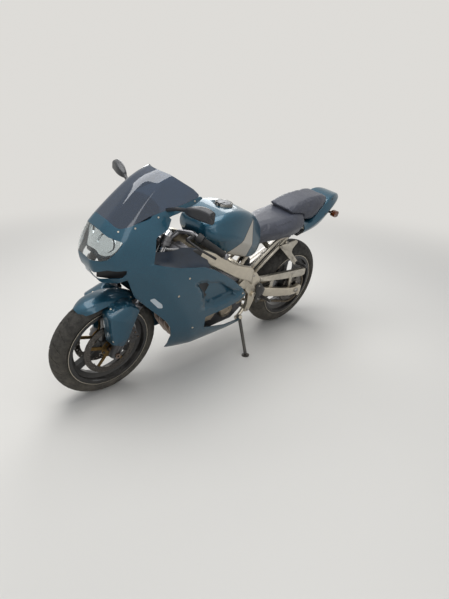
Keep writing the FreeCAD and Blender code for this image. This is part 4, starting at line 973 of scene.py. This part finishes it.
def cord_run(bm, points, radius):
    """A round bead along a smooth line through some points, added to a mesh."""
    line = bpy.data.curves.new("run", "CURVE")
    line.dimensions = "3D"
    spline = line.splines.new("NURBS")
    spline.points.add(len(points) - 1)
    for knot, at in zip(spline.points, points):
        knot.co = (*at, 1.0)
    spline.order_u = 3
    spline.use_endpoint_u = True
    line.resolution_u = 6
    line.bevel_depth = radius
    line.bevel_resolution = 2
    line.use_fill_caps = True
    holder = object_of("run", line)
    mesh = bpy.data.meshes.new_from_object(holder)
    bm.from_mesh(mesh)
    bpy.data.objects.remove(holder)
    bpy.data.curves.remove(line)
    bpy.data.meshes.remove(mesh)


# places on the seams in side view: x, z
rider_seam = ((-275, 812), (-330, 826), (-430, 838), (-520, 852), (-632, 862))
pillion_seam = ((-516, 912), (-590, 928), (-700, 948), (-800, 954), (-882, 952))


def seats():
    """Both cushions; each seam is found by lines from far outside towards the middle of the cushion."""
    far = 260.0
    flank = [((x, far, z + 60), (x, 0, z - 40)) for x, z in rider_seam]
    seat("rider_seat", [flank])
    rim = [((x, far, z + 40), (x, 0, z - 60)) for x, z in pillion_seam]
    seat("pillion_seat", [rim])


# Headlamp
lamp_bowl = 46.0
lamp_depth = 34.0
bowl_x = 742.0
bowl_y = 66.0
bowl_z = 915.0
bowl_turn = 20.0


def headlamp():
    """A clear lens over a plated panel with two bowls, each with its bulb."""
    dressed("headlamp", "clear_lens")
    bm = cad_copy("headlamp")
    middle_z = 925
    for vert in bm.verts:
        vert.co = Vector((vert.co.x * 0.94 + 5, vert.co.y * 0.95, middle_z + (vert.co.z - middle_z) * 1.04))
    for side in (-1, 1):
        place = facing((bowl_x, side * bowl_y, bowl_z), (1, side * math.tan(math.radians(bowl_turn)), 0.12))
        bowl = bmesh.new()
        ring = [(lamp_bowl, 0.0), (lamp_bowl - 3, 2.0)]
        ring += [(lamp_bowl * math.cos(a), -lamp_depth * math.sin(a)) for a in (0.2, 0.5, 0.8, 1.1, 1.35)]
        ring += [(8.0, -lamp_depth), (8.0, -lamp_depth - 4)]
        ring += [(lamp_bowl * math.cos(a) + 2, -lamp_depth * math.sin(a) - 3) for a in (1.1, 0.8, 0.5, 0.2)]
        lathe(bowl, ring, (0, 0, 0), upward, forward, 40)
        bmesh.ops.create_uvsphere(bowl, u_segments=14, v_segments=10, radius=9,
                                  matrix=Matrix.Translation((0, 0, -14)))
        rod(bowl, (0, 0, -lamp_depth - 8), (0, 0, -18), 7.0)
        bmesh.ops.recalc_face_normals(bowl, faces=bowl.faces)
        merged(bm, bowl, place)
    shown("headlamp_reflectors", bm, "reflector", "chassis", "clear_lens", None, 30.0)


# Fairing
def smooth_step(value, low, high):
    """A smooth rise from 0 to 1 while the value runs from low to high."""
    share = min(max((value - low) / (high - low), 0.0), 1.0)
    return share * share * (3 - 2 * share)


def lobed(bm):
    """The fairing's upper rear corner, drawn back towards the rider as the photograph shows it."""
    reach = 60.0
    slope = 0.31
    near = [e for e in bm.edges if all(430 < v.co.x < 660 and 930 < v.co.z < 1060 for v in e.verts)]
    bmesh.ops.subdivide_edges(bm, edges=near, cuts=2)
    for vert in bm.verts:
        back = smooth_step(-vert.co.x, -640, -546)
        high = smooth_step(vert.co.z, 950, 1000) * (1 - smooth_step(vert.co.z, 1024, 1050))
        step = reach * back * high
        vert.co.x -= step
        vert.co.y += math.copysign(slope * step * smooth_step(vert.co.x, 440, 520), vert.co.y)


def tapered(bm):
    """The fender's tongue, narrowed to a rounded tip. Known fault: its sides reach into the front tyre."""
    start, end, narrowest = 17.0, 33.5, 0.42
    for vert in bm.verts:
        at = vert.co - front_centre
        turn = math.degrees(math.atan2(at.x, at.z))
        share = min(max((turn - start) / (end - start), 0.0), 1.0)
        vert.co.y *= 1 - (1 - narrowest) * share ** 2


vent_skin_y = 198.0


def duct(face):
    """Painted shade: faces at the vent's upper front corner, where its outlet and deep recess lie in shade,
    get the near-black finish.
    """
    at = face.calc_center_median()
    inside = abs(at.y) < vent_skin_y and 470 < at.z < 690 and -50 < at.x < 322
    return 1 if inside and at.x > 205 and at.z > 548 else 0


# screws of the left side cowl and their mirror images: x, z
panel_screws = [(362, 718), (419, 628), (279, 373), (-78, 497)]
# screws of the upper cowl and the screen, where a line from the side or above starts, and its direction
cowl_screws = [((335, 300, 1150), (0, -1, -0.4)), ((529, 300, 1100), (0, -1, -0.42)),
               ((706, 300, 1060), (0, -1, -0.42)), ((640, 300, 1030), (0, -1, -0.2)),
               ((440, 300, 1120), (0, -1, -0.4))]
fender_screws = [((760, 110, 660), (-0.38, -0.2, -0.92)), ((587, 110, 669), (0.0, -0.5, -0.8)),
                 ((728, 300, 399), (0, -1, 0))]
tail_screws = [(-854, 852), (-936, 936)]  # x, z
# a near-black sheet over these corners paints the shade of each vent's outlet
vent_shade_corners = [(300, 666), (256, 606), (238, 558), (214, 574), (192, 620), (222, 650)]  # x, z on its floor
probe_y = 400.0


def fairing():
    """The painted panels, their screws, and near-black sheets in the vents that paint the shade of their
    outlets.
    """
    dressed("upper_cowl", change=lobed)
    dressed("front_fender", change=tapered)
    for node in ("side_cowl_left", "side_cowl_right"):
        # the vents' upper front faces get the near-black finish as painted shade
        dressed(node, ["blue_paint", "duct_plastic_and_painted_shade"], duct)
    bm = bmesh.new()
    fender = bmesh.new()
    dark = bmesh.new()
    for side in (1, -1):
        cowl = "side_cowl_left" if side > 0 else "side_cowl_right"
        for x, z in panel_screws:
            at, out = probe(cowl, (x, side * probe_y, z), (0, -side, 0))
            screw(bm, at, out, 6.0, 2.6, number=0)
        for start, way in cowl_screws:
            for node in ("upper_cowl", "windscreen"):
                at, out, _, _ = surface(node).ray_cast(mirrored(start, side), mirrored(way, side))
                if at is not None:
                    screw(bm, at, out, 4.5, 2.2, number=0)
                    break
        for start, way in fender_screws:
            at, out, _, _ = surface("front_fender").ray_cast(mirrored(start, side), mirrored(way, side))
            if at is not None:
                screw(fender, at, out, 5.0, 2.4, number=0)
        for x, z in tail_screws:
            at, out = probe("tail_cowl", (x, side * probe_y, z), (0, -side, 0))
            screw(bm, at, out, 5.5, 2.0, number=1)
        # a near-black sheet just off each vent floor: painted shade over the vent's outlet
        outlet_shade_corners = []
        for x, z in vent_shade_corners:
            at, out = probe(cowl, (x, side * probe_y, z), (0, -side, 0))
            outlet_shade_corners.append(dark.verts.new(at + lateral * side * 1.2))
        bmesh.ops.contextual_create(dark, geom=outlet_shade_corners)
    bmesh.ops.recalc_face_normals(dark, faces=dark.faces)
    bmesh.ops.solidify(dark, geom=dark.faces[:], thickness=1.0)
    shown("vent_outlet_shade", dark, "duct_plastic_and_painted_shade", "chassis", "black_plastic")
    shown("fairing_screws", bm, ["polished_aluminium", "black_steel"], "chassis", "polished_aluminium")
    shown("fender_screws", fender, "polished_aluminium", "steering", "polished_aluminium")
    inner_panels()
    nose_ducts()


# sections of the left inner panel: x, its outer edge's y and z, its inner edge's y and z
panel_sections = [(578, 199, 832, 150, 866), (510, 210, 812, 150, 860), (434, 214, 788, 153, 850),
                  (350, 215, 770, 126, 842), (272, 214, 754, 132, 828), (205, 212, 728, 142, 806)]
panel_sag = 12.0
panel_steps = 6


def inner_panels():
    """The panels that close the fairing inside its top edge, down beside the fork."""
    bm = bmesh.new()
    for side in (1, -1):
        rows = []
        for x, outer_y, outer_z, inner_y, inner_z in panel_sections:
            row = []
            for i in range(panel_steps + 1):
                share = i / panel_steps
                y = outer_y + (inner_y - outer_y) * share
                z = outer_z + (inner_z - outer_z) * share - panel_sag * math.sin(math.pi * share)
                row.append(bm.verts.new((x, side * y, z)))
            rows.append([bm.edges.new(pair) for pair in zip(row, row[1:])])
        for first, second in zip(rows, rows[1:]):
            bmesh.ops.bridge_loops(bm, edges=first + second)
    bmesh.ops.recalc_face_normals(bm, faces=bm.faces)
    bmesh.ops.solidify(bm, geom=bm.faces[:], thickness=2.5)
    shown("inner_panels", bm, "inner_plastic", "chassis", "black_plastic", None, 40.0)


def nose_ducts():
    """Dark walls behind the nose's two slots."""
    bm = bmesh.new()
    slot_middle = (718, 92, 774)
    along = Vector((-102, 98, 0)).normalized()
    for side in (-1, 1):
        turn = Matrix.Rotation(math.atan2(along.y * side, along.x), 4, "Z")
        block(bm, (-74, -2, -36), (74, 2, 38), Matrix.Translation(mirrored(slot_middle, side)) @ turn)
    shown("nose_duct_walls", bm, "duct_plastic_and_painted_shade", "chassis", "black_plastic")


# Instruments and controls
dial_face_x = 491.7
dial_start = 225.0  # degrees, low on the left
dial_sweep = 270.0
ring_finish, face_finish, print_finish, needle_finish = range(4)
mirror_inner_y = 262.0


def lettering(text, size):
    """Plain figures as a mesh in the XY plane, centred."""
    words = bpy.data.curves.new("figures", "FONT")
    words.body = text
    words.size = size
    words.align_x = "CENTER"
    words.align_y = "CENTER"
    holder = object_of("figures", words)
    mesh = bpy.data.meshes.new_from_object(holder)
    bpy.data.objects.remove(holder)
    bpy.data.curves.remove(words)
    return mesh


def dial(bm, y, z, radius, marks, labels):
    """A round instrument that faces the rider: ring, black face, ticks, figures and a needle at rest."""
    place = Matrix.Translation((dial_face_x, y, z)) @ Matrix(((0, 0, -1), (-1, 0, 0), (0, 1, 0))).to_4x4()
    parts = bmesh.new()
    lathe(parts, [(radius, 0), (radius, 4.5), (radius - 2.5, 5.5), (radius - 5, 4.5), (radius - 5, 0)],
          (0, 0, 0), upward, forward, 48)

    known = set()

    def coloured(number):
        """Gives a finish to the faces added since the last call."""
        for face in set(parts.faces) - known:
            face.material_index = number
        known.update(parts.faces)

    def around(i, count):
        """The angle of one of that many marks round the dial."""
        return math.radians(dial_start - dial_sweep * i / (count - 1))

    coloured(ring_finish)
    bmesh.ops.create_circle(parts, cap_ends=True, segments=48, radius=radius - 4,
                            matrix=Matrix.Translation((0, 0, 1.0)))
    coloured(face_finish)
    for i in range(marks):
        turn = Matrix.Rotation(around(i, marks), 4, "Z") @ Matrix.Translation((radius - 10, 0, 1.5))
        length = 3 if i % 2 else 5
        bmesh.ops.create_cube(parts, size=1.0, matrix=turn @ Matrix.Diagonal((length, 0.9, 0.5, 1)))
    coloured(print_finish)
    pointer = Matrix.Rotation(around(0, marks), 4, "Z") @ Matrix.Translation((radius * 0.34, 0, 3))
    bmesh.ops.create_cube(parts, size=1.0, matrix=pointer @ Matrix.Diagonal((radius * 0.95, 1.4, 0.8, 1)))
    coloured(needle_finish)
    bmesh.ops.create_cone(parts, cap_ends=True, segments=20, radius1=4, radius2=3.4, depth=3,
                          matrix=Matrix.Translation((0, 0, 3)))
    coloured(face_finish)
    for i, label in enumerate(labels):
        angle = around(i, len(labels))
        mesh = lettering(label, radius * 0.2)
        at = Vector((math.cos(angle), math.sin(angle), 0)) * (radius - 19) + Vector((0, 0, 1.6))
        mesh.transform(Matrix.Translation(at))
        mesh.polygons.foreach_set("material_index", [print_finish] * len(mesh.polygons))
        parts.from_mesh(mesh)
        bpy.data.meshes.remove(mesh)
    merged(bm, parts, place)


def instruments():
    """The three dials, the mirrors' glass and the instrument case."""
    bm = bmesh.new()
    dial(bm, 0, 1040, 40, 25, [str(i) for i in range(0, 13, 2)])
    dial(bm, 74, 1038, 33, 19, [str(i) for i in range(0, 181, 30)])
    dial(bm, -74, 1038, 33, 13, [str(i) for i in range(5)])
    shown("dials", bm, ["fork_alloy", "dial_black", "white_print", "red_print"], "chassis", "black_plastic",
          None, 30.0, None, False)

    def glass(face):
        """The mirrors' rear faces."""
        at = face.calc_center_median()
        return 1 if face.normal.x < -0.8 and abs(at.y) > mirror_inner_y else 0

    dressed("mirrors", ["mirror_plastic", "mirror_glass"], glass, 30.0)
    dressed("gauges", bevel=2.0)


grip_inner = Vector((350, 190, 946))
grip_outer = Vector((256, 342, 873))
grip_reach = 17.4
grip_ribs = 19
reservoir = Vector((372, -176, 985))
cap_centre = Vector((-20, 0, 989))


def along_grip(share, side):
    """A place on the bar's line, at 0 beside the fork and at 1 at its end."""
    return mirrored(grip_inner.lerp(grip_outer, share), side)


def controls():
    """The grips' ribs, switches and reservoir, and the screws of the clamps, yokes and cap ring."""
    ribs = bmesh.new()
    bm = bmesh.new()
    forks = bmesh.new()
    for side in (1, -1):
        run = (along_grip(1.0, side) - along_grip(0.0, side)).normalized()
        for i in range(grip_ribs):
            at = along_grip(0.4 + 0.55 * i / (grip_ribs - 1), side)
            rod(ribs, at, at + run * 2.6, grip_reach, None, 24)
        flange = along_grip(0.345, side)
        rod(ribs, flange, flange + run * 4, 22.0, 20.0, 24)
        out = Vector((-0.5, 0, 0.86))
        for shift in (-6, 4):
            button = along_grip(0.24, side) + run * shift + out * 20
            rod(bm, button, button + out * 5, 3.4, 3.0, 12)
        screw(bm, along_grip(0.10, side) + Vector((30, side * 8, 11)), upward, 5.0, 4.0)
        screw(bm, along_grip(0.08, side) + upward * 10, upward, 4.0, 4.0)
        for high in (636, 658):
            at = fork @ Vector((fork_offset - 22, side * (leg_spacing - 12), high))
            screw(forks, at, fork.to_3x3() @ -forward, 4.2, 5.0)
        top = fork @ Vector((fork_offset, side * leg_spacing, 698))
        screw(forks, top, fork.to_3x3() @ upward, 10.0, 7.0, nut)
    shown("grip_ribs", ribs, "grip_rubber", "steering", "grip_rubber")
    rod(bm, reservoir - upward * 17, reservoir + upward * 13, 20.0, None, 28)
    rod(bm, reservoir + upward * 13, reservoir + upward * 19, 22.0, 20.5, 28)
    rod(bm, reservoir - upward * 17, Vector((360, -186, 952)), 5.0, None, 12)
    shown("bar_controls", bm, "black_plastic", "steering", "black_plastic")
    screw(forks, fork @ Vector((0, 0, 658)), fork.to_3x3() @ upward, 17.0, 8.0, nut)
    shown("fork_fasteners", forks, "fork_alloy", "steering", "fork_alloy")
    bm = bmesh.new()
    screw_ring(bm, cap_centre, upward, forward * 45.5, 8, 2.4, 1.6, axis="Z")
    shown("cap_ring_screws", bm, "cap_ring", "chassis", "blue_paint")


def ringed(face):
    """The filler's plain metal ring in the painted tank."""
    at = face.calc_center_median() - cap_centre + upward * 3
    return 1 if math.hypot(at.x, at.y) < 51.5 and at.z > -20 and at.length < 60 else 0


# Engine, radiator and running gear
cover_y = 118.5
starter = Vector((-42, 0, 346))
# screws of the engine's covers: x, z, reach of the ring, y of the face, how many
cover_screws = ((130, 400, 61.5, 156.5, 8), (-140, 414, 45.5, 137, 6), (130, 400, 51, -152, 7),
                (-40, 400, 69, -156, 9))
tube_rows = 27
tube_pitch = 9.4
tube_half_width = 141
core_slope = 56 / 274
# x of the radiator's rear and front faces at that height
core_faces = ((351.0, 392), (387.6, 380))
shield_x = 520.0  # where the slanting end of the heat shields would meet the ground
shield_slope = 0.35
# bolts of the frame, subframe and footrests: y of the face, radius, height, head, then x and z of each
frame_bolts = ((146.2, 13, 6.0, nut, ((-245, 410),)), (146.2, 9, 6.0, nut, ((-225, 548), (-222, 304))),
               (146.2, 8, 6.0, nut, ((-124, 496),)), (131.2, 8.0, 4.0, bolt, ((-458, 686), (-508, 708))),
               (154.4, 6.5, 4.0, bolt, ((-286, 462), (-300, 360))))


def machinery():
    """Covers and their screws, the radiator's tubes, silver hangers and rails."""

    def cover(face):
        """The engine's side covers."""
        return 1 if abs(face.calc_center_median().y) > cover_y else 0

    dressed("engine", ["cast_alloy", "cover_alloy"], cover, 30.0, 1.0)
    bm = bmesh.new()
    lathe(bm, [(0.01, 118.2), (52, 118.2), (52, 130), (44, 137), (22, 139), (18, 136), (0.01, 136)],
          starter, lateral, upward, 48, False)
    screw_ring(bm, starter + lateral * 133, lateral, upward * 46.5, 6, 4.2, 5.0)
    bmesh.ops.remove_doubles(bm, verts=bm.verts, dist=0.02)
    shown("starter_cover", bm, "cover_alloy", "chassis", "cast_alloy")
    bm = bmesh.new()
    for x, z, reach, y, count in cover_screws:
        screw_ring(bm, (x, y, z), lateral * math.copysign(1, y), upward * reach, count, 4.6, 4.0)
    shown("engine_screws", bm, "brushed_steel", "chassis", "cast_alloy")

    bm = bmesh.new()
    for i in range(tube_rows):
        z = 400 + i * tube_pitch
        for base_x, base_z in core_faces:
            x = base_x + (z - base_z) * core_slope
            block(bm, (x - 1.2, -tube_half_width, z), (x + 1.2, tube_half_width, z + 3.2))
    shown("radiator_tubes", bm, "radiator_black", "chassis", "radiator_black")

    def hanger(face):
        """The passenger's silver peg hangers."""
        at = face.calc_center_median()
        return 1 if at.x < -430 and abs(at.y) < 132 else 0

    dressed("footrests", ["black_steel", "rail_paint"], hanger)
    dressed("subframe", "rail_paint")
    dressed("chain_guard", "rail_paint")
    dressed("rear_indicators", ["black_plastic", "dark_lens"],
            lambda face: 1 if abs(face.calc_center_median().y) > 112 else 0)
    dressed("front_indicators", "milky_lens")
    dressed("fuel_tank", ["tank_paint", "cap_ring"], ringed)
    dressed("fuel_cap", "cap_lid", bevel=1.0)
    axis = (fork.to_3x3() @ upward).normalized()
    foot = fork @ Vector((0, 0, 0))

    def head(face):
        """The black steering head, and the heat shields on the spars behind it."""
        at = face.calc_center_median()
        reach = at - foot
        near = (reach - axis * reach.dot(axis)).length < 44 and reach.dot(axis) > 400
        return 1 if near or at.x + shield_slope * at.z > shield_x else 0

    def ruled_off(bm):
        """A clean edge where the heat shields end."""
        everything = bm.verts[:] + bm.edges[:] + bm.faces[:]
        bmesh.ops.bisect_plane(bm, geom=everything, plane_co=(shield_x, 0, 0),
                               plane_no=(1, 0, shield_slope), dist=0.01)

    dressed("main_frame", ["polished_aluminium", "black_steel"], head, bevel=1.2, change=ruled_off)
    dressed("swingarm", bevel=1.2)
    bm = bmesh.new()
    for side in (1, -1):
        for y, radius, high, fastener, places in frame_bolts:
            for x, z in places:
                screw(bm, (x, side * y, z), (0, side, 0), radius, high, fastener)
    shown("frame_bolts", bm, "brushed_steel", "chassis", "brushed_steel")


# Floor, light and camera
backdrop = "e6e4e0"
backdrop_strength = 0.92
skylight = "dfe5ee"
skylight_strength = 0.5
fade_start = 1800.0
fade_end = 5200.0
# lamps: name, place, size in metres, watts
lamps = (("key", (0.5, -0.2, 3.8), 3.0, 110.0), ("fill", (2.2, 3.2, 2.2), 2.4, 34.0),
         ("rim", (-2.0, -3.0, 2.6), 2.2, 60.0))


def straight_on(tree):
    """One for rays from the camera, a mirror or glass, none for the light thrown on other surfaces."""
    rays = add(tree, "ShaderNodeLightPath").outputs
    both = add(tree, "ShaderNodeMath", {0: rays["Is Camera Ray"], 1: rays["Is Glossy Ray"]},
               operation="MAXIMUM")
    return add(tree, "ShaderNodeMath", {0: both, 1: rays["Is Transmission Ray"]}, operation="MAXIMUM")


def studio():
    """A pale floor under soft lamps, seen from the photograph's place."""
    floor = bmesh.new()
    bmesh.ops.create_circle(floor, cap_ends=True, segments=96, radius=30.0)
    mesh = bpy.data.meshes.new("floor")
    floor.to_mesh(mesh)
    floor.free()
    plane = object_of("floor", mesh)
    ground = Finish("pale_floor", "d3d0ca", Roughness=0.9)
    tree = ground.tree
    away = add(tree, "ShaderNodeVectorMath", {0: ground.place}, operation="LENGTH")
    fade = add(tree, "ShaderNodeMapRange", {"Value": away, "From Min": fade_start, "From Max": fade_end},
               interpolation_type="SMOOTHERSTEP")
    share = add(tree, "ShaderNodeMath", {0: straight_on(tree), 1: fade}, operation="MULTIPLY")
    far = add(tree, "ShaderNodeEmission", {"Color": linear(backdrop), "Strength": backdrop_strength})
    add(tree, "ShaderNodeMixShader", {0: share, 1: ground.surface, 2: far},
        tree.nodes["Material Output"].inputs["Surface"])
    mesh.materials.append(ground.material)

    world = bpy.context.scene.world or bpy.data.worlds.new("world")
    bpy.context.scene.world = world
    world.use_nodes = True
    tree = world.node_tree
    tree.nodes.clear()
    plain = add(tree, "ShaderNodeBackground", {"Color": linear(skylight), "Strength": skylight_strength})
    seen = add(tree, "ShaderNodeBackground", {"Color": linear(backdrop), "Strength": backdrop_strength})
    both_ways = add(tree, "ShaderNodeMixShader", {0: straight_on(tree), 1: plain, 2: seen})
    add(tree, "ShaderNodeOutputWorld", {"Surface": both_ways})

    for name, at, size, power in lamps:
        lamp = bpy.data.lights.new(name, "AREA")
        lamp.energy = power
        lamp.size = size
        holder = bpy.data.objects.new(name, lamp)
        bpy.context.scene.collection.objects.link(holder)
        aim = Vector((0, 0, 0.5)) - Vector(at)
        holder.matrix_world = Matrix.Translation(at) @ aim.to_track_quat("-Z", "Y").to_matrix().to_4x4()


camera_place = Vector((1.6939, 1.8161, 1.453))
camera_yaw = -132.96
camera_pitch = 23.1
camera_roll = 1.33
picture_height = 599
focal_pixels = 448.9
sensor = 36.0


def camera():
    """The photograph's view, from a fit to both wheels, the axles and the ground."""
    yaw = math.radians(camera_yaw)
    pitch = math.radians(camera_pitch)
    roll = math.radians(camera_roll)
    ahead = Vector((math.cos(pitch) * math.cos(yaw), math.cos(pitch) * math.sin(yaw), -math.sin(pitch)))
    right = ahead.cross(upward).normalized()
    up = right.cross(ahead)
    across = right * math.cos(roll) + up * math.sin(roll)
    high = up * math.cos(roll) - right * math.sin(roll)
    data = bpy.data.cameras.new("photo_view")
    data.sensor_width = sensor
    data.lens = focal_pixels / picture_height * sensor
    eye = bpy.data.objects.new("photo_view", data)
    bpy.context.scene.collection.objects.link(eye)
    turn = Matrix((across, high, -ahead)).transposed().to_4x4()
    eye.matrix_world = Matrix.Translation(camera_place) @ turn
    bpy.context.scene.camera = eye
    bpy.context.scene.view_settings.view_transform = "Standard"


wheels()
brakes()
chain()
shock()
seats()
headlamp()
fairing()
instruments()
controls()
machinery()
shown_nodes = {name for piece in bpy.data.objects for name in piece.get("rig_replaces", [])}
for node in sorted(frame["nodes"]):
    if node not in shown_nodes:
        dressed(node)
studio()
camera()
